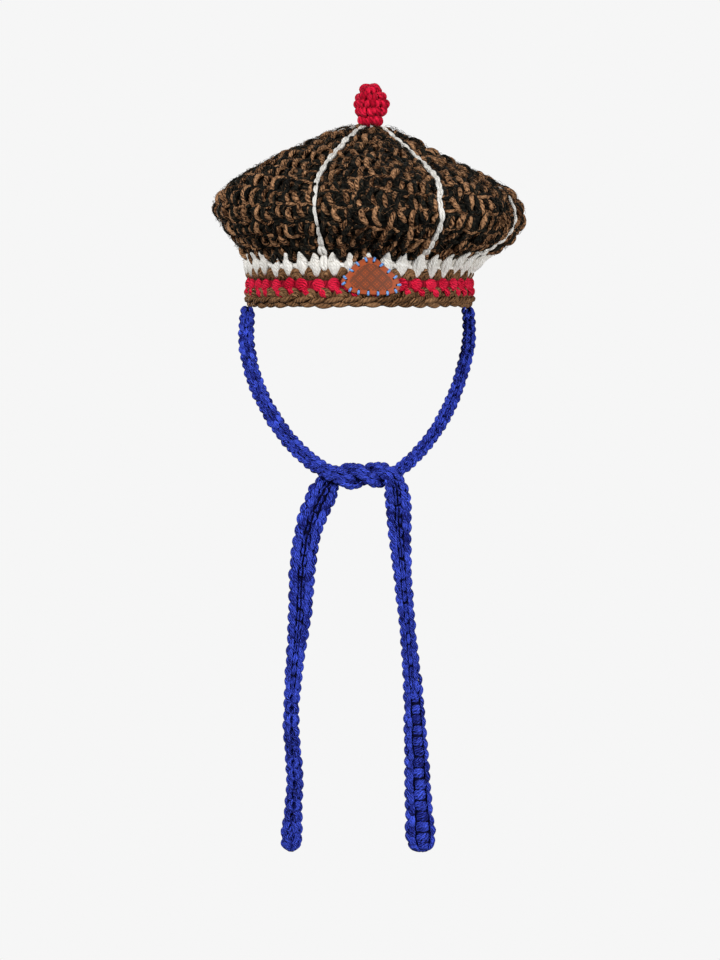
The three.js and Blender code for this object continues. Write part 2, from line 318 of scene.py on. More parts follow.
def twist_pair(lines, outward, spread, phase, turns):
    """Two strands that run side by side and wind round each line: each stands off the line by spread,
    in opposite directions, and that direction turns by turns full turns on the way."""
    across, away = cross_ways(lines, outward)
    angle = 2 * np.pi * (phase[:, None] + turns[:, None] * sway(lines.shape[1]))
    offset = spread * (np.cos(angle)[..., None] * across + PAIR_DEPTH * np.sin(angle)[..., None] * away)
    return np.concatenate([lines + offset, lines - offset])


def stitch_lines(*strands):
    """A stitch out of strands, each given as (across, up, out) along its length."""
    return np.stack([side_by_side(*strand) for strand in strands])


# %% [markdown]
# ## Yarn
#
# Wool yarn is a few plies twisted together, so light catches slanting bumps along every strand, and
# loose fibres blur its edge. The bumps are too many to model, and a pattern in space would not follow
# the strands. So the material reads the UV map: the phase of the twist is the distance along the
# strand over the length of one ply, plus the way round. The same phase also paints light into the
# colour: painted shade in the grooves between plies and painted highlights on the crests. All the
# coloured yarns use the same group.

# %% Yarn node group
# A yarn's three colours: painted shade in the gap between plies, the yarn's own colour, and the painted
# highlight of a lit fibre.
SHADE_NAMES = ("Gap Shade", "Yarn", "Fibre Highlight")
NUMBER_NAMES = ("Ply Length", "Plies", "Sharpness", "Tint", "Dye_Or_Shade", "Stray", "Mottle")
# Turns that the twist slips by from place to place.
TWIST_SLIP = 2.0
# How fine the fibres' streaks are: for each turn of the ply, for each mm of strand, for each tint.
STREAKS = (2.4, 0.4, 9.0)
# Pairs of a factor and an offset that are applied to a noise.
STREAK_CONTRAST = (2.6, -0.7)
SOFT_PLACES = (2.4, -0.8)
LIT_PLACES = (0.7, -0.35)
WOOL_ROUGHNESS = (0.25, 0.65)
# What tint adds to the painted highlight of lit fibres, the streak above which fibres stray, and the
# heights of mottle and of fibres against a ply's.
TINT_LIGHT = 0.5
STRAY_ABOVE = 0.76
MOTTLE_RELIEF = 0.6
FIBRE_RELIEF = 0.35


def add_node(tree, kind, **settings):
    """A new node in a tree. Settings that are not its own properties are its input values."""
    node = tree.nodes.new(kind)
    for key, value in settings.items():
        if hasattr(node, key):
            setattr(node, key, value)
        else:
            node.inputs[key].default_value = value
    return node


def maths(tree, operation, *values):
    """A Math node's result. The values are sockets or plain numbers."""
    node = tree.nodes.new("ShaderNodeMath")
    node.operation = operation
    for socket, value in zip(node.inputs, values):
        if isinstance(value, (int, float)):
            socket.default_value = value
        else:
            tree.links.new(value, socket)
    return node.outputs[0]


def blend_colours(tree, share, first, second):
    """A colour between two, by a share from 0 to 1."""
    node = tree.nodes.new("ShaderNodeMix")
    node.data_type = "RGBA"
    for socket, value in zip((node.inputs[0], node.inputs[6], node.inputs[7]), (share, first, second)):
        if isinstance(value, bpy.types.NodeSocket):
            tree.links.new(value, socket)
        else:
            socket.default_value = value
    return node.outputs[2]


def node_writers(tree):
    """Short names for one tree: its sums, its colour mixes and its links."""
    return partial(maths, tree), partial(blend_colours, tree), tree.links.new


def raise_bumps(tree, shader, height, strength, tall):
    """Bumps on a finish, by a height and by how many mm tall a height of 1 is."""
    bump = add_node(tree, "ShaderNodeBump", Strength=strength, Distance=tall * MM)
    tree.links.new(height, bump.inputs["Height"])
    tree.links.new(bump.outputs[0], shader.inputs["Normal"])


def yarn_group():
    """Twisted plies: a sine of the twist's phase, sharpened by a power, is 1 on a ply's crest and 0 in the
    groove beside it, and in soft places the crests melt away. Dye chooses between two yarns, but along
    fine streaks stray fibres of each lie over the other; in a single yarn the second is its gap's painted
    shade. The colour runs from the gap's painted shade in the groove to the yarn's own colour on the
    crest, and on to a lit fibre's painted highlight along the same streaks and in fine specks."""
    tree = bpy.data.node_groups.new("twisted_plies", "ShaderNodeTree")
    sockets = [("Strand", "INPUT", "Vector"), ("Place", "INPUT", "Vector")]
    sockets += [(other + name, "INPUT", "Color") for name in SHADE_NAMES for other in ("", "Other ")]
    sockets += [(name, "INPUT", "Float") for name in NUMBER_NAMES]
    results = (("Colour", "Color"), ("Height", "Float"), ("Roughness", "Float"))
    sockets += [(name, "OUTPUT", kind) for name, kind in results]
    for name, way, kind in sockets:
        tree.interface.new_socket(name, in_out=way, socket_type="NodeSocket" + kind)
    do, mix, link = node_writers(tree)
    given = tree.nodes.new("NodeGroupInput").outputs
    result = tree.nodes.new("NodeGroupOutput").inputs
    strand = tree.nodes.new("ShaderNodeSeparateXYZ")
    link(given["Strand"], strand.inputs[0])
    fine = add_node(tree, "ShaderNodeTexNoise", Scale=1900.0, Detail=3.0, Roughness=0.7)
    broad = add_node(tree, "ShaderNodeTexNoise", Scale=160.0, Detail=2.0)
    specks = add_node(tree, "ShaderNodeTexNoise", Scale=560.0, Detail=1.0)
    for noise in (fine, broad, specks):
        link(given["Place"], noise.inputs["Vector"])
    patches = tree.nodes.new("ShaderNodeSeparateXYZ")
    link(broad.outputs[1], patches.inputs[0])
    slack = do("MULTIPLY", broad.outputs[0], TWIST_SLIP)
    turns = do("MULTIPLY_ADD", strand.outputs[1], given["Plies"], slack)
    phase = do("ADD", do("DIVIDE", strand.outputs[0], given["Ply Length"]), turns)
    wave = do("SINE", do("MULTIPLY", phase, 2 * np.pi))
    crest = do("POWER", do("MULTIPLY_ADD", wave, 0.5, 0.5), given["Sharpness"])
    soft = do("MULTIPLY_ADD", patches.outputs[2], *SOFT_PLACES)
    crest = do("MULTIPLY_ADD", soft, do("SUBTRACT", 0.5, crest), crest)
    along_ply = tree.nodes.new("ShaderNodeCombineXYZ")
    for socket, source, fine_by in zip(along_ply.inputs, (phase, strand.outputs[0], given["Tint"]), STREAKS):
        link(do("MULTIPLY", source, fine_by), socket)
    fibres = add_node(tree, "ShaderNodeTexNoise", Scale=1.0, Detail=2.0)
    link(along_ply.outputs[0], fibres.inputs["Vector"])
    streak = do("MULTIPLY_ADD", fibres.outputs[0], *STREAK_CONTRAST)
    lit = do("MULTIPLY", crest, streak)
    lit = do("MULTIPLY_ADD", given["Tint"], TINT_LIGHT, lit)
    lit = do("ADD", lit, do("MULTIPLY_ADD", broad.outputs[0], *LIT_PLACES))
    mottle = do("MULTIPLY", do("SUBTRACT", specks.outputs[0], 0.5), given["Mottle"])
    lit = do("ADD", lit, mottle)
    crest = do("MULTIPLY_ADD", mottle, MOTTLE_RELIEF, crest)
    stray = do("MULTIPLY", do("SUBTRACT", streak, STRAY_ABOVE), given["Stray"])
    share = do("ADD", given["Dye_Or_Shade"], stray)
    # The gap's colour is painted shade in the groove, the fibre's a painted highlight on the crest.
    gap, yarn, fibre_highlight = (mix(share, given[x], given["Other " + x]) for x in SHADE_NAMES)
    body = mix(crest, gap, yarn)
    link(mix(lit, body, fibre_highlight), result["Colour"])
    fuzz = do("MULTIPLY", do("ADD", streak, fine.outputs[0]), FIBRE_RELIEF)
    link(do("ADD", crest, fuzz), result["Height"])
    link(do("MULTIPLY_ADD", fine.outputs[0], *WOOL_ROUGHNESS), result["Roughness"])
    return tree


TWISTED_PLIES = yarn_group()
PLY_BUMP = 0.8


def yarn_finish(
    name, shades, other=None, ply_length=2.8, sharp=1.1, bump=0.6, sheen=0.03, stray=0.0, mottle=0.4
):
    """A yarn's material. shades are the painted shade of the gap, the yarn's own colour and the painted
    highlight of a lit fibre; other, where two yarns are held together, has those of the other one, and
    the dye attribute chooses. In a single yarn, dye 1 gives the gap's painted shade, which is painted
    on the cloth behind the stitches, in full or in part."""
    finish, shader = new_finish(
        name, {"Specular IOR Level": 0.08, "Sheen Weight": sheen, "Sheen Roughness": 0.45}
    )
    tree = finish.node_tree
    link = tree.links.new
    place = tree.nodes.new("ShaderNodeTexCoord")
    plies = tree.nodes.new("ShaderNodeGroup")
    plies.node_tree = TWISTED_PLIES
    settings = {"Ply Length": ply_length, "Plies": -4.0, "Sharpness": sharp, "Stray": stray, "Mottle": mottle}
    # A single yarn's second set of colours is its gap's painted shade three times, for the cloth behind the
    # stitches.
    for key, shade, second in zip(SHADE_NAMES, shades, other or [shades[0]] * 3):
        settings[key] = shade + (1,)
        settings["Other " + key] = second + (1,)
    for key, value in settings.items():
        plies.inputs[key].default_value = value
    strand = add_node(tree, "ShaderNodeUVMap", uv_map="yarn")
    link(strand.outputs[0], plies.inputs["Strand"])
    link(place.outputs["Object"], plies.inputs["Place"])
    for key in ("Tint", "Dye_Or_Shade"):
        value = add_node(tree, "ShaderNodeAttribute", attribute_name=key.lower())
        link(value.outputs["Fac"], plies.inputs[key])
    raise_bumps(tree, shader, plies.outputs["Height"], bump, PLY_BUMP)
    link(plies.outputs["Colour"], shader.inputs["Base Color"])
    link(plies.outputs["Roughness"], shader.inputs["Roughness"])
    return finish


# Each yarn's colours: painted shade in the grooves, the yarn's own colour, and a painted highlight.
BLACK = ((0.0005, 0.0005, 0.0004), (0.004, 0.0042, 0.0035), (0.018, 0.019, 0.0145))
BROWN = ((0.006, 0.002, 0.001), (0.135, 0.058, 0.024), (0.54, 0.285, 0.142))
tweed_wool = yarn_finish(
    "tweed_wool", BLACK, BROWN, ply_length=3.0, sharp=1.15, bump=0.8, sheen=0.0, stray=0.5, mottle=1.8
)
blue_wool = yarn_finish(
    "blue_wool", ((0.001, 0.001, 0.022), (0.012, 0.019, 0.240), (0.068, 0.120, 0.84)),
    ply_length=2.5, sharp=0.95, bump=0.6, mottle=0.9,
)
brown_wool = yarn_finish(
    "brown_wool", ((0.014, 0.006, 0.002), (0.140, 0.063, 0.024), (0.37, 0.195, 0.092)), sharp=0.95, bump=0.5
)
red_wool = yarn_finish(
    "red_wool", ((0.09, 0.0, 0.004), (0.64, 0.002, 0.030), (0.98, 0.028, 0.090)), sharp=0.75, bump=0.45
)
soft_red_wool = yarn_finish(
    "soft_red_wool", ((0.10, 0.0, 0.004), (0.47, 0.001, 0.021), (0.80, 0.013, 0.055)), sharp=0.6, bump=0.35
)
white_wool = yarn_finish(
    "white_wool", ((0.46, 0.43, 0.38), (0.74, 0.72, 0.67), (0.90, 0.89, 0.86)), sharp=0.5, bump=0.2
)
print("yarns:", [m.name for m in bpy.data.materials])

# %% [markdown]
# ## The chin ties
#
# Each tie is a long crocheted strip, a few stitches wide and a little less thick. It hangs from the
# band, goes round the chin, crosses the other one in a knot and hangs down with a puffed end. A cord
# has a real length, so it starts from a line: the same route points as the CAD tube, joined by the
# same smooth curve. The strip's section changes along the line: round at the chin, wide and flat
# under the knot, narrow and thick further down. Then stitches are laid all round it.

# %% Smooth lines


def run_on(points):
    """The points with one more at each end, straight on from the last two."""
    return np.concatenate([2 * points[:1] - points[1:2], points, 2 * points[-1:] - points[-2:-1]])


def cubic(start, end, first, last, t):
    """The cubic from start to end with the given slopes there, at t from 0 to 1."""
    bend = (2 * start - 2 * end + first + last) * t**3
    return bend + (3 * end - 3 * start - 2 * first - last) * t**2 + first * t + start


def smooth_line(points, per_span=16, closed=False):
    """A curve through the points: on each span a cubic whose ends point along the neighbours, with
    knots that are apart by the square root of the spans' lengths (centripetal Catmull-Rom)."""
    points = np.array(points, float)
    ring = np.concatenate([points[-1:], points, points[:2]]) if closed else run_on(points)
    before, start, end, after = ring[:-3], ring[1:-2], ring[2:-1], ring[3:]
    spans = ((before, start), (start, end), (end, after))
    gap = [np.sqrt(np.linalg.norm(b - a, axis=1))[:, None] for a, b in spans]
    first = (start - before) / gap[0] - (end - before) / (gap[0] + gap[1]) + (end - start) / gap[1]
    last = (end - start) / gap[1] - (after - start) / (gap[1] + gap[2]) + (after - end) / gap[2]
    first, last = (first * gap[1])[:, None], (last * gap[1])[:, None]
    t = (np.arange(per_span) / per_span)[None, :, None]
    line = cubic(start[:, None], end[:, None], first, last, t).reshape(-1, points.shape[1])
    return line if closed else np.concatenate([line, points[-1:]])


def evenly(line, spacing):
    """The same line with points that are equally far apart, and their distances from its start."""
    reach = np.concatenate([[0], np.cumsum(np.linalg.norm(np.diff(line, axis=0), axis=1))])
    distance = np.linspace(0, reach[-1], int(reach[-1] / spacing) + 1)
    return np.stack([np.interp(distance, reach, line[:, i]) for i in range(line.shape[1])], 1), distance


# %% Tie routes
TIE_ROUTES = {
    "tie_left": [
        [-77.6, 0, -0.3], [-78.6, 0, -12], [-79, -0.5, -24], [-77.4, -1.5, -35], [-73.6, -3, -50],
        [-67, -4.5, -65.5], [-57.6, -6.5, -81.5], [-45.5, -8.5, -97], [-33.5, -10.5, -108],
        [-23, -11.8, -114.5], [-14, -11.9, -118], [-9.5, -10.5, -120.8], [-5, -7, -121.9],
        [-0.5, -3.5, -120.8], [4, -2.1, -118], [8.5, -3.5, -114.5], [13, -7, -114.1],
        [17.5, -10.5, -114.5], [22, -11.9, -118], [25.5, -11.6, -125], [27, -10, -138],
        [28.4, -8.5, -160], [30.6, -8, -190], [34.2, -7.5, -230], [37.7, -7, -270], [39.8, -7, -310],
        [41.4, -7, -345], [43.6, -7, -381.5],
    ],
    "tie_right": [
        [75.9, 0, -0.3], [76.6, 0, -12], [76.6, -0.5, -24], [74.6, -1, -35], [70.6, -1.5, -50],
        [64.8, -2, -65.5], [56.8, -2, -81.5], [46.4, -2, -96.5], [35.6, -2, -108], [28.5, -2, -113.8],
        [22, -2.1, -118], [17.5, -3.5, -120.8], [13, -7, -121.9], [8.5, -10.5, -120.8],
        [4, -11.9, -118], [-0.5, -10.5, -114.5], [-5, -7, -114.1], [-9.5, -3.5, -114.5],
        [-14, -2.1, -118], [-21, -2, -123.5], [-28, -3, -136], [-34.6, -5, -153], [-39.4, -6, -180],
        [-41.6, -6, -215], [-46, -6, -258], [-47.8, -6, -295], [-45.4, -6, -328], [-46.4, -6, -355],
        [-48.4, -6, -381.5],
    ],
}

# %% Tie sections
# Width and thickness of each strip and the depth of the groove down its front, in mm, by the height
# of the place where they are measured. Above the knot the strip goes round the chin, and chin is its
# width there. bumps says whether its plump lower part has a row of bumps or one of plump loops.
TIE_SECTIONS = {
    "tie_left": {
        "height": [-382, -376, -368, -358, -335, -310, -290, -265, -230, -195, -175, -155, -131, -118],
        "width": [10, 15.5, 17.4, 15, 14, 12.5, 11.4, 9.6, 7.4, 8.6, 10, 12.4, 14.1, 9],
        "thick": [8, 10, 10.5, 9, 8.5, 8.5, 8.5, 8.5, 8, 7.5, 7, 7, 7, 8],
        "groove": [0, 0, 0, 0, 0, 0, 0, 0.6, 1, 1.6, 2.2, 2.6, 2, 0.4],
        "chin": 7.4,
        "bumps": True,
    },
    "tie_right": {
        "height": [-382, -377, -368, -358, -345, -310, -280, -262, -235, -215, -185, -155, -131, -118],
        "width": [5, 10.5, 12, 9.4, 8.2, 7.6, 7.2, 8.2, 10, 12.6, 14, 14.8, 17.4, 9],
        "thick": [7, 10, 10.5, 9.5, 9, 8.5, 8.5, 8.5, 8, 7.5, 7, 7, 7, 8],
        "groove": [0, 0, 0, 0, 0, 0, 0, 0.5, 1.4, 2.2, 2.6, 2.8, 2, 0.4],
        "chin": 5.6,
        "bumps": False,
    },
}
CHIN_THICK = 7.6
# A strip is slimmer by a share at its root. The knot ends where its line last comes above a level, and
# there the tail's sections fade in. The groove is a dip, its width a share of the strip's.
CHIN_ROOT = 25.0
CHIN_ROOT_SLIM = 0.2
KNOT_LEVEL = -119.0
KNOT_FADE = 12.0
END_ROUND = 5.0
GROOVE_WIDTH = 0.16
LINE_STEP = 0.5


def tie_cloth(name):
    """The strip's surface as a function of turns round it and distance along it, with its centre line.
    Round the line x = width/2 * cos and y = thick/2 * sin of the turn, less the groove in the middle of
    the front; x lies across the strip in the picture's plane and y points to the front."""
    line, reach = evenly(smooth_line(TIE_ROUTES[name]), LINE_STEP)
    along = unit(np.gradient(line, axis=0))
    across = unit(np.cross(along, [0.0, -1.0, 0.0]))
    front = np.cross(across, along)
    knot_end = reach[np.argmax(reach * (line[:, 2] > KNOT_LEVEL))]
    section = TIE_SECTIONS[name]
    below = np.clip((reach - knot_end) / KNOT_FADE + 0.5, 0, 1)
    tail = {k: np.interp(line[:, 2], section["height"], section[k]) for k in ("width", "thick", "groove")}
    slim = 1 - CHIN_ROOT_SLIM * np.clip(1 - reach / CHIN_ROOT, 0, 1)
    width = tail["width"] * below + section["chin"] * slim * (1 - below)
    thick = tail["thick"] * below + CHIN_THICK * slim * (1 - below)
    groove = tail["groove"] * below
    into_end = np.clip((reach - reach[-1] + END_ROUND) / (END_ROUND + 0.2), 0, 1)
    rounding = np.sqrt(np.clip(1 - into_end**2, 0.02, 1))
    table = np.column_stack([line, across, front, width * rounding, thick * rounding, groove * rounding])

    def face(turns, distance):
        row = np.stack([np.interp(distance, reach, column) for column in table.T], -1)
        angle = 2 * np.pi * turns
        x = row[..., 9] / 2 * np.cos(angle)
        y = row[..., 10] / 2 * np.sign(np.sin(angle)) * np.abs(np.sin(angle)) ** 0.8
        dip = row[..., 11] * np.exp(-((x / (GROOVE_WIDTH * row[..., 9])) ** 2)) * (np.sin(angle) > 0)
        outward = unit(np.stack([np.cos(angle) * row[..., 10], np.sin(angle) * row[..., 9]], -1))
        side, ahead = row[..., 3:6], row[..., 6:9]
        point = row[..., 0:3] + x[..., None] * side + (y - dip)[..., None] * ahead
        return point, outward[..., :1] * side + outward[..., 1:] * ahead

    return face, line, reach, knot_end


# %% [markdown]
# A strip's stitch is a small pointed loop: two halves of yarn that start together, bow apart and meet
# again under the next stitch. Columns of them go round the strip, each half a stitch ahead of its
# neighbour: bold ones along both edges, close ones that make a ridge beside the groove, and flat ones
# behind. Further down the front has no groove. One of the two ties has a row of bumps in its place,
# the other a row of plump loops.

# %% Ties
# Columns of loops: turns round the strip, how far the halves bow apart, how high they rise, how thick
# they are, and how far they lie ahead. The first five go all the way, the next two end where a row of
# bumps begins, and the last one lies beside the bumps.
COLUMNS = [
    (0.015, 0.33, 1.3, 1.5, 0.0), (0.68, 0.30, 0.8, 1.5, 0.0), (0.85, 0.30, 0.8, 1.5, 0.5),
    (0.485, 0.30, 1.0, 1.5, 0.5), (0.140, 0.13, 1.1, 1.3, 0.4), (0.355, 0.13, 1.1, 1.3, 0.1),
    (0.247, 0.27, -0.6, 1.1, 0.7), (0.60, 0.30, 0.2, 1.4, 0.5),
]
ALL_THE_WAY = 5
COLUMN_WIDTH = 0.17
# The plump part's front, below a height: turns round the strip, width in turns, thickness, and how far
# its stitches lie ahead. A ridge's loops also have their own bow and rise.
PLUMP_BELOW = -262.0
BUMP_COLUMN = (0.295, 0.21, 1.6, 0.1)
RIDGE_COLUMN = (0.25, 0.24, 1.55, 0.35)
RIDGE_BOW = 0.33
RIDGE_RISE = 1.9
# Rows of stitches: short ones round the chin, longer ones on the tail. Loops on a strip of the full
# span are as thick as the tables say, and others go with the span between two limits.
CHIN_PITCH = 5.4
TAIL_PITCH = 7.6
PITCH_CHANGE_LEAD = 10.0
PITCH_CHANGE = 40.0
LAST_ROW_GAP = 5.0
FULL_SPAN = 12.0
FULLNESS_LIMITS = (0.9, 1.15)
CORE_INSET = 0.7
CORE_END_GAP = 0.4
CORE_SIDES = 14
CORE_RINGS = 260


def loop_stitch(bow=0.34, rise=1.0, tuck=-1.5, lap=0.1):
    """Two strands from below the foot to above the head of a cell, bowed apart by a sine and raised
    by a sine."""
    up = -lap + (1 + 2 * lap) * WAY
    out = tuck + (rise - tuck) * ARCH**0.6
    return stitch_lines((0.5 - bow * ARCH**0.8, up, out), (0.5 + bow * ARCH**0.8, up, out))


def bump_stitch():
    """Three strands across the cell, one above the other, that rise steeply and dive at both ends; the
    middle one stands out furthest, so that they make a pillow."""
    return stitch_lines(*[
        (WAY, up + 0.05 * ARCH, -2.6 + (2.2 + rise) * ARCH**0.45)
        for up, rise in ((0.25, -0.2), (0.5, 0.8), (0.75, -0.2))
    ])


def tie_rows(end, knot_end):
    """Where each row of stitches starts and how long it is, from the band to the tie's end."""
    rows = [0.0]
    while rows[-1] < end - LAST_ROW_GAP:
        share = np.clip((rows[-1] - knot_end + PITCH_CHANGE_LEAD) / PITCH_CHANGE, 0, 1)
        rows.append(rows[-1] + CHIN_PITCH + (TAIL_PITCH - CHIN_PITCH) * share)
    return np.array(rows[:-1]), np.diff(rows)


def make_tie(name, seed):
    """One tie: a core that fills it and stitches all round."""
    rng = np.random.default_rng(seed)
    face, line, reach, knot_end = tie_cloth(name)
    core_turns = np.arange(CORE_SIDES) / CORE_SIDES
    core_reach = np.linspace(0, reach[-1] - CORE_END_GAP, CORE_RINGS)
    core, outward = face(-core_turns[None, :], core_reach[:, None])
    # dye 1 paints the core in the blue yarn's gap shade: painted shade between the stitches.
    parts = [tube_parts((core - CORE_INSET * outward)[None], dye_or_shade=1.0)]
    rows, pitch = tie_rows(reach[-1], knot_end)
    span = np.linalg.norm(face(np.zeros(len(rows)), rows)[0] - face(0.5 + 0 * rows, rows)[0], axis=-1)
    full = np.clip(span / FULL_SPAN, *FULLNESS_LIMITS)
    plump = np.interp(rows, reach, line[:, 2]) < PLUMP_BELOW
    bumped = plump & TIE_SECTIONS[name]["bumps"]
    ridged = plump & ~bumped
    chosen = [rows > -1] * ALL_THE_WAY + [~bumped] * (len(COLUMNS) - ALL_THE_WAY - 1) + [bumped]
    plan = [(loop_stitch(bow, rise), (turn, COLUMN_WIDTH, thick, ahead), which)
            for (turn, bow, rise, thick, ahead), which in zip(COLUMNS, chosen)]
    plan += [(bump_stitch(), BUMP_COLUMN, bumped), (loop_stitch(RIDGE_BOW, RIDGE_RISE), RIDGE_COLUMN, ridged)]
    for stitch, (turn, wide, thick, ahead), which in plan:
        if not which.any():
            continue
        low = np.minimum(rows + pitch * ahead, reach[-1] - pitch * 0.9)[which]
        cells = side_by_side(turn - wide / 2, low, wide, pitch[which])
        lines, away = lay(face, cells, stitch, rng, wobble=0.05, lift=0.15)
        girth = np.repeat(full[which], len(stitch))[:, None] * thick * (0.5 + 0.5 * ARCH)
        tint = np.repeat(rng.normal(0, 0.25, len(cells)), len(stitch))
        parts.append(tube_parts(strand_points(lines, away, girth), tint=tint))
    tie = knit_piece(name + "_crochet", parts, blue_wool, "blue_yarn", name)


make_tie("tie_left", 11)
make_tie("tie_right", 12)

# %% [markdown]
# ## The crown's cloth
#
# The crown is a wide disc gathered into the band. Its shape is worked out just as the CAD source does
# it: a meridian of rows from band to top, six stitched lines that part the panels, a puff between
# them, soft folds, and a lean and droop of the whole. Because it is a formula, it gives a point
# anywhere between the rows too, which the stitches need. Coordinates on it are the place across
# the panels, where whole numbers are the white lines, and the distance up the meridian in mm.

# %% Crown formula
BAND_RADIUS = 80.0
WHITE_BASE = 24.7
WHITE_HEIGHT = 10.0
CROWN_BASE = 35.0
CROWN_REACH = 108.0
CROWN_HEIGHT = 91.0
PANEL_PUFF = 6.0
CROWN_LEAN = 8.0
CROWN_DROOP = 4.0
SIDE_FLARE = 10.0
# Each stitched line: where it stands in degrees, and how far its foot and its crest swing from there.
STITCHED_LINES = np.array([
    [-21, 3.5, -10], [27, 4.5, 20], [76, -10, 42], [142, -3, 2], [206, 3, 3], [271, 0, 7],
])
# Rows of the meridian: reach, lift, swell, lean, droop, flare, as in the CAD source.
CROWN_ROWS = np.array([
    [BAND_RADIUS / CROWN_REACH, 0.0, 0.0, 0.0, 0.0, 1.0], [0.79, 0.035, 0.1, 0.2, 0.3, 0.7],
    [0.845, 0.09, 0.35, 0.45, 0.7, 0.35], [0.905, 0.15, 0.65, 0.7, 1.0, 0.1],
    [0.955, 0.225, 0.9, 0.9, 1.1, 0.0], [0.985, 0.315, 1.0, 0.9, 1.0, 0.0],
    [0.975, 0.4, 1.0, 0.9, 0.9, 0.0], [0.93, 0.478, 0.95, 0.9, 0.7, 0.0],
    [0.86, 0.55, 0.9, 0.9, 0.7, 0.0], [0.765, 0.615, 0.85, 0.9, 0.8, 0.0],
    [0.66, 0.68, 0.75, 0.95, 0.95, 0.0], [0.55, 0.74, 0.65, 0.95, 1.0, 0.0],
    [0.435, 0.806, 0.5, 1.0, 1.0, 0.0], [0.32, 0.875, 0.35, 1.0, 0.8, 0.0],
    [0.21, 0.94, 0.2, 1.0, 0.5, 0.0], [0.117, 0.985, 0.05, 1.0, 0.1, 0.0],
    [0.0, 1.0, 0.0, 1.0, 0.0, 0.0],
])
# Folds: degrees, half width, depth, middle, spread.
CROWN_FOLDS = np.array([
    [60, 13, 1.1, 0.62, 0.3], [-58, 12, 0.5, 0.74, 0.25], [2, 10, 0.5, 0.86, 0.22],
    [105, 30, 0.5, 0.22, 0.25], [172, 12, 0.6, 0.7, 0.3], [-122, 12, 0.5, 0.55, 0.28],
    [-92, 22, -0.4, 0.3, 0.15],
])
LAST_ROW = len(CROWN_ROWS) - 1


def between_rows(table, row):
    """Values at a row number with a fraction: a cubic on each span whose slope at a row is half the
    difference of its neighbours."""
    padded = run_on(table)
    span = np.clip(np.floor(row).astype(int), 0, len(table) - 2)
    t = (row - span)[..., None]
    before, start, end, after = (padded[span + i] for i in range(4))
    return cubic(start, end, (end - before) / 2, (after - start) / 2, t)


def line_azimuth(number, row):
    """Azimuth in radians of a stitched line at a row: its own, plus the swing of foot and crest."""
    turns, which = np.divmod(number.astype(int), len(STITCHED_LINES))
    line = STITCHED_LINES[which]
    share = row / LAST_ROW
    foot = np.maximum(0, 1 - 3 * share) ** 1.5
    crest = np.maximum(0, share - 0.4) / 0.6
    return np.radians(line[..., 0] + line[..., 1] * foot + line[..., 2] * crest + 360 * turns)


def flare_at(azimuth):
    """How far the right side opens outwards: the cube of a wave round the head."""
    return SIDE_FLARE * ((1 + np.sin(azimuth)) / 2) ** 3


MERIDIAN = CROWN_ROWS[:, :2] * [CROWN_REACH, CROWN_HEIGHT] + [0, CROWN_BASE]
slope = np.concatenate([[[0, 1]], MERIDIAN[2:] - MERIDIAN[:-2], [[-1, 0]]])
MERIDIAN_OUT = unit(np.stack([slope[:, 1], -slope[:, 0]], 1))


def crown_point(across, row):
    """Point of the crown's outer face. The meridian is pushed out by its swell times the puff, which is
    a cosine bump between two lines less the folds, turned to its azimuth, opened by the flare and
    then shifted to the right by the lean and down on the right by the droop."""
    across, row = np.broadcast_arrays(across, np.clip(row, 0, LAST_ROW))
    panel = np.floor(across)
    start, end = line_azimuth(panel, row), line_azimuth(panel + 1, row)
    azimuth = start + (end - start) * (across - panel)
    _, _, swell, lean, droop, flare = np.moveaxis(between_rows(CROWN_ROWS, row), -1, 0)
    puff = (1 - np.cos(2 * np.pi * across)) / 2
    turn = azimuth[..., None] - np.radians(CROWN_FOLDS[:, 0])
    sideways = np.arctan2(np.sin(turn), np.cos(turn)) / np.radians(CROWN_FOLDS[:, 1])
    along = (row[..., None] / LAST_ROW - CROWN_FOLDS[:, 3]) / CROWN_FOLDS[:, 4]
    fold = (CROWN_FOLDS[:, 2] * np.exp(-(sideways**2) - along**2)).sum(-1)
    flat = between_rows(MERIDIAN, row)
    flat = flat + (PANEL_PUFF * swell * (puff - fold))[..., None] * unit(between_rows(MERIDIAN_OUT, row))
    reach = flat[..., 0] + flare * flare_at(azimuth)
    x = reach * np.sin(azimuth) + lean * CROWN_LEAN
    z = flat[..., 1] - droop * CROWN_DROOP * np.sin(azimuth)
    return np.stack([x, -reach * np.cos(azimuth), z], -1)


FURROW = 2.6
FURROW_WIDTH = 4.5
FOOT_TOP = 3.0
FOOT_TALL = 8.0
NUDGE = 0.01
fine_rows = np.linspace(0, LAST_ROW, 801)
fine_steps = np.linalg.norm(np.diff(between_rows(MERIDIAN, fine_rows), axis=0), axis=1)
CLIMB = np.concatenate([[0], np.cumsum(fine_steps)])


def crown_cloth(across, distance):
    """The crown's outer face by place across the panels and distance up the meridian, and the outward
    direction there, from the cross product of two small steps on the face. Towards its foot the cloth is
    drawn in to the band's own radius, so that it stays behind the white round, and below the foot it
    goes straight down. A furrow is pressed into it along every line."""
    row = np.interp(distance, CLIMB, fine_rows)
    sideways = crown_point(across + NUDGE, row) - crown_point(across - NUDGE, row)
    upwards = crown_point(across, row + NUDGE) - crown_point(across, row - NUDGE)
    outward = unit(np.cross(sideways, upwards))
    per_panel = np.linalg.norm(sideways, axis=-1) / (2 * NUDGE)
    off_line = np.abs(across - np.round(across)) * per_panel
    point = crown_point(across, row)
    drawn_in = np.clip((FOOT_TOP - distance) / FOOT_TALL, 0, 1)
    leaning = drawn_in * (BAND_RADIUS - np.linalg.norm(point[..., :2], axis=-1))
    point[..., :2] += leaning[..., None] * unit(point[..., :2])
    point[..., 2] += np.minimum(distance, 0)
    return point - (FURROW * np.exp(-((off_line / FURROW_WIDTH) ** 2)))[..., None] * outward, outward


print("distance up the crown's meridian:", round(CLIMB[-1], 1), "mm")

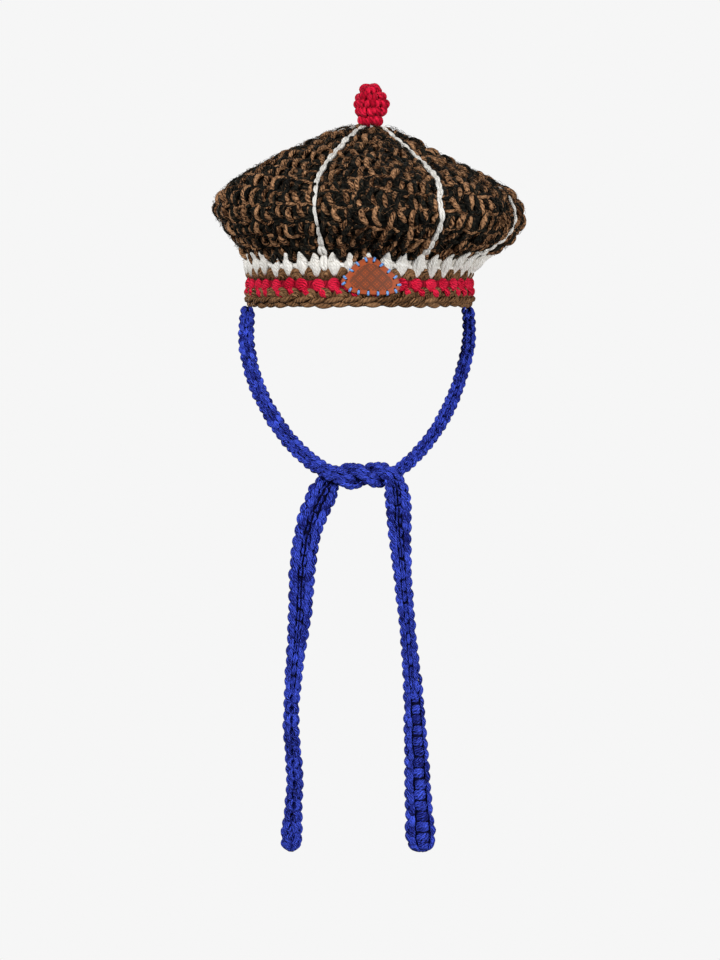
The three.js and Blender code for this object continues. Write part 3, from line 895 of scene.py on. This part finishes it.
# %% [markdown]
# ## The crown's stitches
#
# Rounds of tall stitches climb the crown about 12 mm apart, with as many stitches in a panel as fit. The
# yarn is held double, one brown and one black. So a stitch is a brown and a black strand side by
# side, each rising out of the valley under its round, bowing over and diving into the next one, and
# now and then the two change sides on the way, which makes the tweed. In each valley a shorter pair
# lies across, the head of the stitch. One piece is made for each panel.

# %% Crown stitches
ROUND_HEIGHT = 12.2
STITCH_WIDTH = 8.8
CROWN_TOP_GAP = 11.0
CROWN_START = -6.0
# By how much of a stitch every other round is moved.
ROUND_SHIFT = 0.25
# How many turns a pair winds in one stitch, for each panel: the front is wilder than the left side.
PANEL_TWIST = [0.65, 0.4, 0.5, 0.5, 0.5, 0.22]


def crown_cells(panel):
    """Cells of one panel: rounds at equal distances, and in each round as many as its width holds."""
    rounds = np.arange(CROWN_START, CLIMB[-1] - CROWN_TOP_GAP, ROUND_HEIGHT)
    cells = []
    for number, low in enumerate(rounds):
        middle = np.interp(low + ROUND_HEIGHT / 2, CLIMB, fine_rows)
        edge = crown_point(panel + np.linspace(0, 1, 24), np.full(24, middle))
        width = np.linalg.norm(np.diff(edge, axis=0), axis=1).sum()
        count = max(1, round(width / STITCH_WIDTH))
        place = panel + (np.arange(count) + ROUND_SHIFT * (number % 2)) / count
        cells.append(side_by_side(place, low, 1 / count, ROUND_HEIGHT))
    return np.concatenate(cells)


def post_stitch():
    """The middle line of a stitch's pair: it rises, bows to the left and over, and dives again."""
    return stitch_lines((0.58 - 0.24 * ARCH, -0.06 + 1.1 * WAY, -6.0 + 5.0 * ARCH**0.55))


def head_stitch():
    """The middle line of the head: it lies across the stitch at the top of its cell, sagging a bit."""
    return stitch_lines((-0.25 + 1.5 * WAY, 1.06 - 0.12 * ARCH, -5.4 + 3.2 * ARCH**0.6))


# The two pairs of a stitch: its line, how far the strands stand off it, and how thick the brown and the
# black one are.
CROWN_PAIRS = [(post_stitch(), 1.75, 2.0, 1.9), (head_stitch(), 1.2, 1.35, 1.5)]


def make_crown_panel(panel):
    """One panel: posts and heads in its cells, each a wound pair of a brown and a black strand."""
    rng = np.random.default_rng(100 + panel)
    cells = crown_cells(panel)
    parts = []
    twist = PANEL_TWIST[panel]
    for stitch, spread, brown, black in CROWN_PAIRS:
        middle, away = lay(crown_cloth, cells, stitch, rng, wobble=0.1, lift=0.6)
        phase = rng.normal(0, 0.08 + 0.4 * twist, len(middle)) + rng.choice((0, 0, 0.5), len(middle))
        turns = rng.normal(twist, 0.25, len(middle)) * rng.choice((-1, 1), len(middle))
        lines = twist_pair(middle, away, spread, phase, turns)
        dye_or_shade = np.repeat([1.0, 0.0], len(middle))
        girth = (black + (brown - black) * dye_or_shade)[:, None] * (0.55 + 0.45 * ARCH)
        girth = girth * np.exp(rng.normal(0, 0.1, (len(lines), 1)))
        tubes = strand_points(lines, np.concatenate([away, away]), girth)
        parts.append(tube_parts(tubes, dye_or_shade=dye_or_shade, tint=rng.normal(0, 0.3, len(lines))))
    knit_piece(f"crown_panel_{panel + 1}", parts, tweed_wool, "brown_black_yarn", "crown")


for panel in range(len(STITCHED_LINES)):
    make_crown_panel(panel)

# %% [markdown]
# Wool is never quite smooth: thin hairs stand off it, which blur its outline and lay a little of each
# colour over the other. A few thousand hairs on the crown are enough. Half of them are arcs with
# both ends in the wool, the others have one end free.

# %% Stray fibres
HAIRS = 3600
HAIR_THICK = 0.1
HAIR_LENGTHS = (4, 9)
HAIR_HEIGHTS = (1.2, 2.9)
HAIR_STEPS = 4
HAIR_FOOT = -4.0
HAIR_TOP_GAP = 12.0


def make_hairs():
    """Thin three-sided tubes over the crown. A hair starts at a random place, runs along the cloth in a
    random direction and stands off it by its height times an arch or a rising curve."""
    rng = np.random.default_rng(150)
    place = rng.uniform(0, len(STITCHED_LINES), HAIRS)
    climb = rng.uniform(HAIR_FOOT, CLIMB[-1] - HAIR_TOP_GAP, HAIRS)
    point, outward = crown_cloth(place, climb)
    ahead = unit(np.cross(outward, rng.normal(0, 1, (HAIRS, 3))))
    way = sway(HAIR_STEPS)
    rise = np.where(rng.random((HAIRS, 1)) < 0.5, np.sin(np.pi * way), way**1.6)
    out = -0.4 + rng.uniform(*HAIR_HEIGHTS, (HAIRS, 1)) * rise
    run = rng.uniform(*HAIR_LENGTHS, (HAIRS, 1)) * (way - 0.5)
    lines = point[:, None] + run[..., None] * ahead[:, None] + out[..., None] * outward[:, None]
    tubes = strand_points(lines, np.broadcast_to(outward[:, None], lines.shape), HAIR_THICK, 3)
    parts = [tube_parts(tubes, dye_or_shade=rng.choice((0.0, 1.0), HAIRS), tint=rng.normal(0.2, 0.3, HAIRS))]
    knit_piece("stray_fibres", parts, tweed_wool, "brown_black_yarn", "crown")


make_hairs()

# %% [markdown]
# ## The crown's lining
#
# Under the stitches lies the back of the same fabric. It closes the gaps between the strands, and
# it is what one sees from below, inside the hat. It is one closed shell: an outer layer just under the
# strands and an inner layer that carries the low bumps of a crocheted wrong side.

# %% Crown lining
LINING_FOOT = -8.0
LINING_TOP_GAP = 3.0
LINING_ROWS = 80
LINING_PLACES = 252
LINING_STITCHES = 9
# How deep the two layers lie under the crown's face, how high the inner one's bumps are, and how much
# of a bump is brown: a factor and an offset.
OUTER_DEPTH = 2.4
INNER_DEPTH = 4.2
INNER_BUMP = 1.6
BROWN_BUMPS = (3, -1.4)


def crown_lining():
    """Rings from the inner top down to the band and back up the outside. The inner layer is raised by
    the product of two waves, one per stitch across and one per round, and is brown where it is raised.
    The outer layer lies behind the stitches and is all black: the black yarn's colour, and painted shade in
    the gaps between the strands."""
    across = np.linspace(0, len(STITCHED_LINES), LINING_PLACES + 1)[:-1]
    climb = np.linspace(LINING_FOOT, CLIMB[-1] - LINING_TOP_GAP, LINING_ROWS)
    point, outward = crown_cloth(across[None, :], climb[:, None])
    waves = np.abs(np.sin(np.pi * climb / ROUND_HEIGHT))[:, None]
    waves = waves * np.abs(np.sin(np.pi * LINING_STITCHES * across))
    inner = point - (INNER_DEPTH + INNER_BUMP * waves)[..., None] * outward
    outer = point - (OUTER_DEPTH + 0.2 * np.maximum(-climb, 0))[:, None, None] * outward
    rings = np.concatenate([inner[::-1], outer])[None, :, ::-1]
    lining = tube_parts(rings)
    brown = np.clip(BROWN_BUMPS[0] * waves + BROWN_BUMPS[1], 0, 1)[::-1, ::-1]
    lining["dye_or_shade"] = np.concatenate([brown, np.zeros(outer.shape[:2])]).ravel()
    return lining


knit_piece("crown_lining", [crown_lining()], tweed_wool, "brown_black_yarn", "crown")

# %% [markdown]
# ## The white lines
#
# After the crown was made, a white yarn was pulled up through it along each valley, loop through loop,
# which leaves a chain on the surface. Each line is a row of long narrow loops that overlap, so it
# looks like one soft white rope with slight waists.

# %% White lines
LINE_PITCH = 9.0
LINE_WIDTH = 5.6
LINE_FOOT = -10.0
LINE_TOP_GAP = 10.5
LINE_NUDGE = 0.02
# How full each line's loops are, by the share of the way from the band to the top.
LINE_SHARES = [0.0, 0.06, 0.14, 0.25, 0.42, 0.58, 0.75, 1.0]
LINE_FULLNESS = [
    [1.3, 0.8, 0.5, 0.6, 0.95, 1.1, 1.1, 0.9], *5 * [[1.3, 1.1, 0.95, 0.95, 1, 1.05, 1.1, 0.9]]
]


def line_cloth(number):
    """The crown's face near one line, by mm across the line and distance up the meridian."""
    def face(across, distance):
        row = np.interp(distance, CLIMB, fine_rows)
        place = np.full(row.shape, float(number))
        left, right = crown_point(place - LINE_NUDGE, row), crown_point(place + LINE_NUDGE, row)
        per_mm = 2 * LINE_NUDGE / np.maximum(np.linalg.norm(right - left, axis=-1), 0.05)
        return crown_cloth(place + across * per_mm, distance)

    return face


def make_line(number):
    """One white line: loops end to end from the band to the bobble, as full as the table says."""
    rng = np.random.default_rng(200 + number)
    foot = np.arange(LINE_FOOT, CLIMB[-1] - LINE_TOP_GAP, LINE_PITCH)
    full = np.interp(foot / CLIMB[-1], LINE_SHARES, LINE_FULLNESS[number])
    cells = side_by_side(-LINE_WIDTH / 2 * full, foot, LINE_WIDTH * full, LINE_PITCH)
    stitch = loop_stitch(bow=0.20, rise=1.5, tuck=0.0, lap=0.18)
    lines, away = lay(line_cloth(number), cells, stitch, rng, wobble=0.04, lift=0.15)
    girth = 1.25 * np.repeat(full, 2)[:, None] * (0.7 + 0.3 * ARCH)
    parts = [tube_parts(strand_points(lines, away, girth, 7))]
    name = f"_line_{number + 1}"
    knit_piece("white" + name, parts, white_wool, "white_yarn", "crown" + name)


for number in range(len(STITCHED_LINES)):
    make_line(number)

# %% [markdown]
# ## The headband
#
# Four rounds of stitches make the band. On the real hat each colour pulls its loops into the one
# beside it: the white stitches are plump spindles whose points reach up into the crown and down
# into the brown round, the red ones are ovals with a small tail, and the rim is a row of brown
# bumps over a braided edge. Each round is a ring of cloth with its own stitch laid on it.

# %% Band cloth
BAND_TIGHT = 1.0
BAND_STITCHES = 42
# Above this height the band's face follows the foot of the crown, outwards by a share of the rise.
CROWN_FOOT = 33.0
CROWN_FOOT_SLOPE = 1.1
RING_INSET = 1.6
RING_WALL = 5.0
RING_BUMP = 0.7
RING_SIDES = 16


def band_cloth(stitch, height):
    """The band's outer face by stitch number and height: a cylinder that leans out with the flare over
    the height of the white round, and above it follows the foot of the crown."""
    azimuth = stitch * 2 * np.pi / BAND_STITCHES
    outward = np.stack([np.sin(azimuth), -np.cos(azimuth), np.zeros_like(azimuth)], -1)
    lean = flare_at(azimuth) * np.clip((height - WHITE_BASE) / WHITE_HEIGHT, 0, 1.2)
    lean = lean + CROWN_FOOT_SLOPE * np.maximum(height - CROWN_FOOT, 0)
    point = (BAND_RADIUS - BAND_TIGHT + lean)[..., None] * outward
    point[..., 2] = height
    return point, outward


def band_ring(base, height, stretch=0.0):
    """The cloth of one round: a closed ring whose section is an upright oval, wrong side bumped. Where
    the side flares out, it is taller by the share stretch."""
    stitch = np.arange(0, BAND_STITCHES, 1 / 8)
    turn = 2 * np.pi * np.arange(RING_SIDES) / RING_SIDES
    depth = (RING_WALL - RING_INSET) / 2
    tall = height * (1 + stretch * flare_at(stitch * 2 * np.pi / BAND_STITCHES) / SIDE_FLARE)
    up = base + tall[:, None] / 2 * (1 + np.sign(np.sin(turn)) * np.abs(np.sin(turn)) ** 0.6)
    out = -RING_INSET - depth * (1 - np.sign(np.cos(turn)) * np.abs(np.cos(turn)) ** 0.6)
    bumps = RING_BUMP * np.abs(np.sin(np.pi * stitch))[:, None] * np.clip(-np.cos(turn), 0, 1)[None, :]
    point, outward = band_cloth(*np.broadcast_arrays(stitch[:, None], up))
    # The ring has dye 0.7, so its colour lies most of the way to its yarn's gap shade: painted shade on the
    # cloth between the stitches.
    return tube_parts((point + (out[None, :] - bumps)[..., None] * outward)[None], dye_or_shade=0.7, closed=True)


def stitch_round(low, tall, stitch, girth, rng, shift=0.0):
    """The strands of one stitch repeated round the band, from a height up over a cell's height."""
    place = np.arange(BAND_STITCHES) + shift
    cells = side_by_side(place, low, 1.0, tall)
    lines, away = lay(band_cloth, cells, stitch, rng, wobble=0.045, lift=0.2)
    tint = np.repeat(rng.normal(0, 0.2, len(cells)), len(stitch))
    return tube_parts(strand_points(lines, away, girth, 7), tint=tint)


def make_round(name, node, ring, cell, stitch, girth, finish, slot, seed, shift=0.0):
    """One round of the band: its ring of cloth and a stitch in every cell."""
    strands = stitch_round(*cell, stitch, girth, np.random.default_rng(seed), shift)
    knit_piece(name, [band_ring(*ring), strands], finish, slot, node)


# %% Band stitches


def spindle_stitch():
    """Four strands from one point to another, bowed left, half left, half right and right by an arch
    with nearly straight sides, so that together they are a plump diamond, and a thin strand that goes
    across to the next one behind them."""
    wide = (1 - np.abs(2 * WAY - 1) ** 1.5) ** 0.9
    curl = np.sin(2 * np.pi * WAY)
    halves = [
        (0.5 + bow * wide + 0.03 * curl, WAY, -1.6 + (0.8 + rise) * wide + 1.0 * WAY**3)
        for bow, rise in ((-0.24, 0.0), (-0.08, 1.2), (0.08, 1.2), (0.24, 0.0))
    ]
    return stitch_lines(*halves, (0.4 + 1.2 * WAY, 0.46 + 0.06 * curl, -1.9))


def oval_stitch():
    """Four strands that slant down to the right, bowed apart at right angles to their slant, and a
    short tail of two below their end. Bows are in mm."""
    wide = ARCH**0.8
    ovals = [
        (0.12 + 0.56 * WAY + bow * wide * 0.058, 0.94 - 0.72 * WAY + bow * wide * 0.08,
         -2.8 + (2.3 - 0.3 * abs(bow)) * wide**0.7)
        for bow in (3.0, 1.0, -1.0, -3.0)
    ]
    tails = [(0.50 + side + 0.20 * WAY, 0.32 - 0.64 * WAY, -1.6 + 1.6 * wide) for side in (0.0, 0.13)]
    return stitch_lines(*ovals, *tails)


def arch_stitch(width, tall):
    """Two nested arches, the loops of a stitch seen from the front."""
    aside = width * np.cos(np.pi * WAY)
    return stitch_lines(
        (0.5 - aside, tall * ARCH**0.8, -2.6 + 1.6 * ARCH**0.7),
        (0.5 - 0.5 * aside, tall * 0.55 * ARCH**0.8, -2.2 + 1.6 * ARCH**0.7),
    )


def braid_stitch():
    """Two long strands along the rim, each from under the last stitch to over the next: the upper one
    rises to the right, the lower one sinks a little and turns in under the edge."""
    return stitch_lines(
        (-0.15 + 1.25 * WAY, 0.50 + 0.46 * WAY + 0.04 * ARCH, -2.8 + 2.6 * ARCH**0.6),
        (0.15 + 1.25 * WAY, 0.40 - 0.10 * WAY - 0.10 * ARCH, -4.2 + 2.2 * ARCH**0.6),
    )


# Each round: base, height and stretch of its ring of cloth, then base and height of its stitches.
make_round("white_round", "band_white_round", (WHITE_BASE, 5.3, 0.8), (20.6, 15.4), spindle_stitch(),
           0.75 + 1.05 * ARCH, white_wool, "white_yarn", 31)
make_round("brown_round", "band_brown_round", (17.6, 8.0), (18.6, 8.0), arch_stitch(0.36, 0.8),
           0.9 + 0.8 * ARCH, brown_wool, "brown_yarn", 32, shift=0.5)
make_round("red_round", "band_red_round", (9.6, 8.8), (10.0, 9.0), oval_stitch(),
           0.7 + 0.95 * ARCH, red_wool, "red_yarn", 33, shift=0.1)

# %% [markdown]
# The rim has two kinds of stitch, so it is put together here: bumps above, a braid below. The braid's
# lower strand turns under the edge, which rounds the rim off.

# %% Rim
RIM_BASE = 0.8
RIM_TALL = 9.6


def make_rim():
    """Bumps over a braid, both laid on the band's cloth, with the ring of cloth behind them."""
    rng = np.random.default_rng(34)
    bumps = stitch_round(5.4, 7.4, arch_stitch(0.38, 0.85), 0.9 + 0.85 * ARCH, rng, shift=0.45)
    braid = stitch_round(-0.2, 6.6, braid_stitch(), 0.6 + 1.45 * ARCH, rng)
    parts = [band_ring(RIM_BASE, RIM_TALL), bumps, braid]
    knit_piece("rim_round", parts, brown_wool, "brown_yarn", "band_rim")


make_rim()

# %% [markdown]
# ## The bobble
#
# The knob on top is a small tube of fat red stitches. Each shows as two legs side by side that swell
# out like beads. They are laid in staggered rows on a profile turned round the crown's top, over a
# closed core that fills it.

# %% Bobble
BOBBLE_BASE = 126.3
BOBBLE_HEIGHT = 28.4
BOBBLE_RADIUS = 11.6
# The profile: share of the height and share of the radius.
BOBBLE_PROFILE = np.array([
    [0.0, 0.60], [0.14, 0.71], [0.29, 0.90], [0.43, 1.0], [0.57, 0.96], [0.71, 0.84], [0.86, 0.60],
    [0.97, 0.27], [1.0, 0.02],
])
# Rounds of stitches: share of the height where they start, share that they take, and their number.
BOBBLE_ROUNDS = [(-0.03, 0.27, 7), (0.17, 0.27, 9), (0.37, 0.27, 9), (0.57, 0.26, 8), (0.76, 0.24, 5)]
SLOPE_STEP = 0.06
BOBBLE_INSET = 2.4
BOBBLE_TIP = 1 / 12
BOBBLE_CORE_ROWS = 14
BOBBLE_CORE_SIDES = 16


def bobble_cloth(stitch, lift):
    """The knob's face by turns round it and share of its height: its profile's radius at that height,
    turned round the crown's leaning top."""
    turn = 2 * np.pi * stitch
    below, radius, above = (
        BOBBLE_RADIUS * np.interp(lift + step, *BOBBLE_PROFILE.T) for step in (-SLOPE_STEP, 0, SLOPE_STEP)
    )
    rise = 2 * SLOPE_STEP * BOBBLE_HEIGHT
    outward = unit(side_by_side(np.sin(turn) * rise, -np.cos(turn) * rise, below - above))
    point = side_by_side(
        CROWN_LEAN + radius * np.sin(turn), -radius * np.cos(turn), BOBBLE_BASE + BOBBLE_HEIGHT * lift
    )
    return point, outward


def bunch_stitch():
    """Two fat legs of a stitch side by side, closer at the foot, that swell out between two rounds."""
    return stitch_lines(*[
        (0.5 + side * (0.19 + 0.10 * WAY), 0.08 + 0.84 * WAY, -4.6 + 3.6 * ARCH**0.5) for side in (-1, 1)
    ])


def make_bobble():
    """Rows of stitches, fewer near the top, over a core of rings with closed ends."""
    rng = np.random.default_rng(41)
    lift = sway(BOBBLE_CORE_ROWS)
    turns = -np.arange(BOBBLE_CORE_SIDES) / BOBBLE_CORE_SIDES
    core, outward = bobble_cloth(turns[None, :], lift[:, None])
    core = core - BOBBLE_INSET * outward * np.clip((1 - lift) / BOBBLE_TIP, 0, 1)[:, None, None]
    core[..., 2] = np.maximum(core[..., 2], BOBBLE_BASE)
    # dye 0.8 colours the core most of the way to the red's gap shade: painted shade between the stitches.
    parts = [tube_parts(core[None], dye_or_shade=0.8)]
    for number, (low, tall, count) in enumerate(BOBBLE_ROUNDS):
        place = (np.arange(count) + 0.5 * (number % 2)) / count
        cells = side_by_side(place, low, 1 / count, tall)
        lines, away = lay(bobble_cloth, cells, bunch_stitch(), rng, wobble=0.11, lift=0.6)
        girth = (0.8 + 1.4 * ARCH**0.8) * np.exp(rng.normal(0, 0.13, (len(lines), 1)))
        tint = rng.normal(0, 0.25, len(lines))
        parts.append(tube_parts(strand_points(lines, away, girth, 8), tint=tint))
    knit_piece("popcorn_bobble", parts, soft_red_wool, "red_yarn", "bobble")


make_bobble()

# %% [markdown]
# ## The leather patch
#
# The patch is a thin piece of tan leather cut to a low dome, sewn on with a light blue thread that
# goes over its edge. Its outline is a smooth closed curve through the CAD source's points. Rings
# from the middle of the back, over the edge and back to the middle of the front make the sheet, and
# the band's own function bends it round the head. Its UV map is the flat cut in millimetres, so that
# the pressed check, the grain and the dark edge can be drawn on it as on a table.

# %% Leather
PATCH_WIDTH = 41.0
PATCH_TALL = 26.0
PATCH_DEGREES = 5.5
PATCH_FOOT = 8.0
PATCH_BACK = 1.4
PATCH_THICK = 1.8
PATCH_OUTLINE = [
    [-0.5, 0.38], [-0.43, 0.2], [-0.3, 0.06], [0.06, 0.0], [0.33, 0.02], [0.47, 0.11], [0.5, 0.27],
    [0.43, 0.5], [0.31, 0.67], [0.21, 0.79], [0.1, 0.95], [-0.02, 1.0], [-0.13, 0.96], [-0.3, 0.78],
    [-0.38, 0.6],
]
PATCH_MIDDLE = np.array([0.0, 0.42 * PATCH_TALL])
PATCH_TRIM = 0.975
# Rings of the sheet from the middle of its back to the middle of its front: share of the outline, and
# height over the back in mm. The edge is rounded by the ones in between.
PATCH_RINGS = np.array([
    [0.02, 0], [0.5, 0], [0.97, 0], [0.995, 0.15], [1.0, 0.5], [1.0, 1.2], [0.995, 1.55], [0.975, 1.75],
    [0.94, 1.8], [0.85, 1.78], [0.72, 1.76], [0.5, 1.8], [0.25, 1.84], [0.02, 1.86],
])
TAN = ((0.25, 0.044, 0.011, 1), (0.42, 0.082, 0.021, 1))
PRESSED_TAN = (0.105, 0.036, 0.017, 1)
BURNISHED_TAN = (0.16, 0.040, 0.014, 1)
# Near black: painted shade inside the needle holes.
HOLE_SHADE = (0.004, 0.003, 0.003, 1)
LEATHER_BUMP = 0.5
# The pressed check, in mm across its slant: where the pattern turns back, and where each line lies and
# half its width. It ends at a share of the outline, and the burnished edge begins at another.
CHECK_TURN = 3.8
CHECK_LINES = [(0.3, 0.9), (2.5, 0.38)]
CHECK_END = 0.72
BURNISHED_FROM = 0.93


def leather_finish():
    """Tan leather: a blotchy tan with a fine grain, a pressed check of double lines in the middle that
    is darker and lower, a burnished edge, and near black painted shade where dye is 1, inside the
    needle holes."""
    finish, shader = new_finish("tan_leather", {"Specular IOR Level": 0.25})
    tree = finish.node_tree
    do, mix, link = node_writers(tree)
    cut = tree.nodes.new("ShaderNodeSeparateXYZ")
    link(add_node(tree, "ShaderNodeUVMap", uv_map="yarn").outputs[0], cut.inputs[0])
    across, up = cut.outputs[0], cut.outputs[1]
    lines = []
    for slant in (do("ADD", across, up), do("SUBTRACT", across, up)):
        stripe = do("PINGPONG", slant, CHECK_TURN)
        for middle, half in CHECK_LINES:
            off_line = do("ABSOLUTE", do("SUBTRACT", stripe, middle))
            lines.append(do("LESS_THAN", off_line, half))
    pressed = lines.pop()
    for line in lines:
        pressed = do("MAXIMUM", pressed, line)
    edge = add_node(tree, "ShaderNodeAttribute", attribute_name="tint").outputs["Fac"]
    pressed = do("MULTIPLY", pressed, do("LESS_THAN", edge, CHECK_END))
    object_place = tree.nodes.new("ShaderNodeTexCoord").outputs["Object"]
    blotch = add_node(tree, "ShaderNodeTexNoise", Scale=240.0, Detail=3.0)
    grain = add_node(tree, "ShaderNodeTexVoronoi", Scale=1500.0)
    for texture in (blotch, grain):
        link(object_place, texture.inputs["Vector"])
    tan = mix(blotch.outputs[0], *TAN)
    tan = mix(do("MULTIPLY", pressed, 0.8), tan, PRESSED_TAN)
    rub = do("MULTIPLY", do("SUBTRACT", edge, BURNISHED_FROM), 8.0)
    tan = mix(rub, tan, BURNISHED_TAN)
    hole = add_node(tree, "ShaderNodeAttribute", attribute_name="dye_or_shade").outputs["Fac"]
    link(mix(hole, tan, HOLE_SHADE), shader.inputs["Base Color"])
    height = do("SUBTRACT", do("MULTIPLY", grain.outputs[0], 0.25), pressed)
    raise_bumps(tree, shader, height, 0.6, LEATHER_BUMP)
    link(do("MULTIPLY_ADD", blotch.outputs[0], 0.3, 0.4), shader.inputs["Roughness"])
    return finish


# %% Patch


def patch_place(flat, above):
    """A place on the cut, in mm from its lower middle, bent round the band: x turns into azimuth, y is
    the height above the patch's foot, and above is the distance from the leather's back."""
    stitch = (np.radians(PATCH_DEGREES) + flat[..., 0] / BAND_RADIUS) * BAND_STITCHES / (2 * np.pi)
    point, outward = band_cloth(stitch, PATCH_FOOT + flat[..., 1])
    return point + (PATCH_BACK + above)[..., None] * outward, outward


def patch_leather():
    """Rings over the sheet, each the outline drawn towards the middle, at a height over the back."""
    outline = smooth_line(PATCH_OUTLINE, 8, closed=True) * [PATCH_WIDTH, PATCH_TALL]
    outline = PATCH_MIDDLE + PATCH_TRIM * (outline - PATCH_MIDDLE)
    share, level = PATCH_RINGS.T
    flat = PATCH_MIDDLE + share[:, None, None] * (outline - PATCH_MIDDLE)
    above = np.broadcast_to(level[:, None], flat.shape[:2])
    point, _ = patch_place(flat, above)
    part = tube_parts(point[None])
    spots = flat.reshape(-1, 2)
    part["uv"] = [spots[faces].reshape(-1, 2) for faces in part["faces"]]
    part["tint"] = np.repeat(share, len(outline))
    return part, outline


THREAD_STITCHES = 16
THREAD_STEP = 0.25
HOLE_INSET = 2.7
HOLE_RADIUS = 0.75
# A hole's bore goes from below the leather's face to just above it, in mm.
HOLE_REACH = np.array([-0.8, 0.06])


def thread_places(outline):
    """Equal steps round the outline from its top, with the direction towards the inside at each."""
    ring = np.concatenate([outline, outline[:1]])
    places, _ = evenly(ring, THREAD_STEP)
    first = np.argmax(places[:, 1])
    steps = (np.arange(THREAD_STITCHES) + 0.5) * len(places) / THREAD_STITCHES
    pick = (first + steps.astype(int)) % len(places)
    along = unit(np.roll(places, -3, 0) - np.roll(places, 3, 0))[pick]
    inward = np.stack([-along[:, 1], along[:, 0]], -1)
    inward = inward * np.sign(((PATCH_MIDDLE - places[pick]) * inward).sum(-1))[:, None]
    return places[pick], inward


leather, outline = patch_leather()
places, inward = thread_places(outline)
tan_leather = leather_finish()
hole_spots, hole_out = patch_place(places + HOLE_INSET * inward, np.full(len(places), PATCH_THICK))
needle = hole_spots[:, None] + HOLE_REACH[:, None] * hole_out[:, None]
sideways = np.cross(hole_out, [0.0, 0.0, 1.0])
bore = strand_points(needle, np.broadcast_to(sideways[:, None], needle.shape), HOLE_RADIUS, 8)
# The bores have dye 1, so the leather's finish paints them near black: painted shade inside the needle holes.
knit_piece("leather_patch", [leather, tube_parts(bore, dye_or_shade=1.0)], tan_leather, "leather", "patch")

# %% [markdown]
# The thread comes up through each hole and goes over the edge to the cloth. Each visible stitch is a
# short fat strand, bent over the rounded edge.

# %% Thread
thread_finish = yarn_finish(
    "blue_thread", ((0.03, 0.10, 0.36), (0.12, 0.34, 0.80), (0.32, 0.60, 1.0)), ply_length=1.4, bump=0.3
)
# A stitch over the edge: the share of its way, and its height as a share of the leather's thickness.
THREAD_BEND = np.array([[0, 0.3], [0.15, 1.15], [0.6, 1.25], [0.8, 1.05], [0.92, 0.3], [1, -0.6]])
THREAD_START = 2.0
THREAD_RUN = 2.3
thread_flat = places[:, None] + (THREAD_START - THREAD_RUN * WAY)[None, :, None] * inward[:, None]
thread_above = PATCH_THICK * np.interp(WAY, *THREAD_BEND.T)
thread, thread_out = patch_place(thread_flat, np.broadcast_to(thread_above, thread_flat.shape[:2]))
thread_tubes = tube_parts(strand_points(thread, thread_out, 0.95 - 0.2 * WAY, 7))
knit_piece("patch_thread", [thread_tubes], thread_finish, "blue_yarn", "patch")
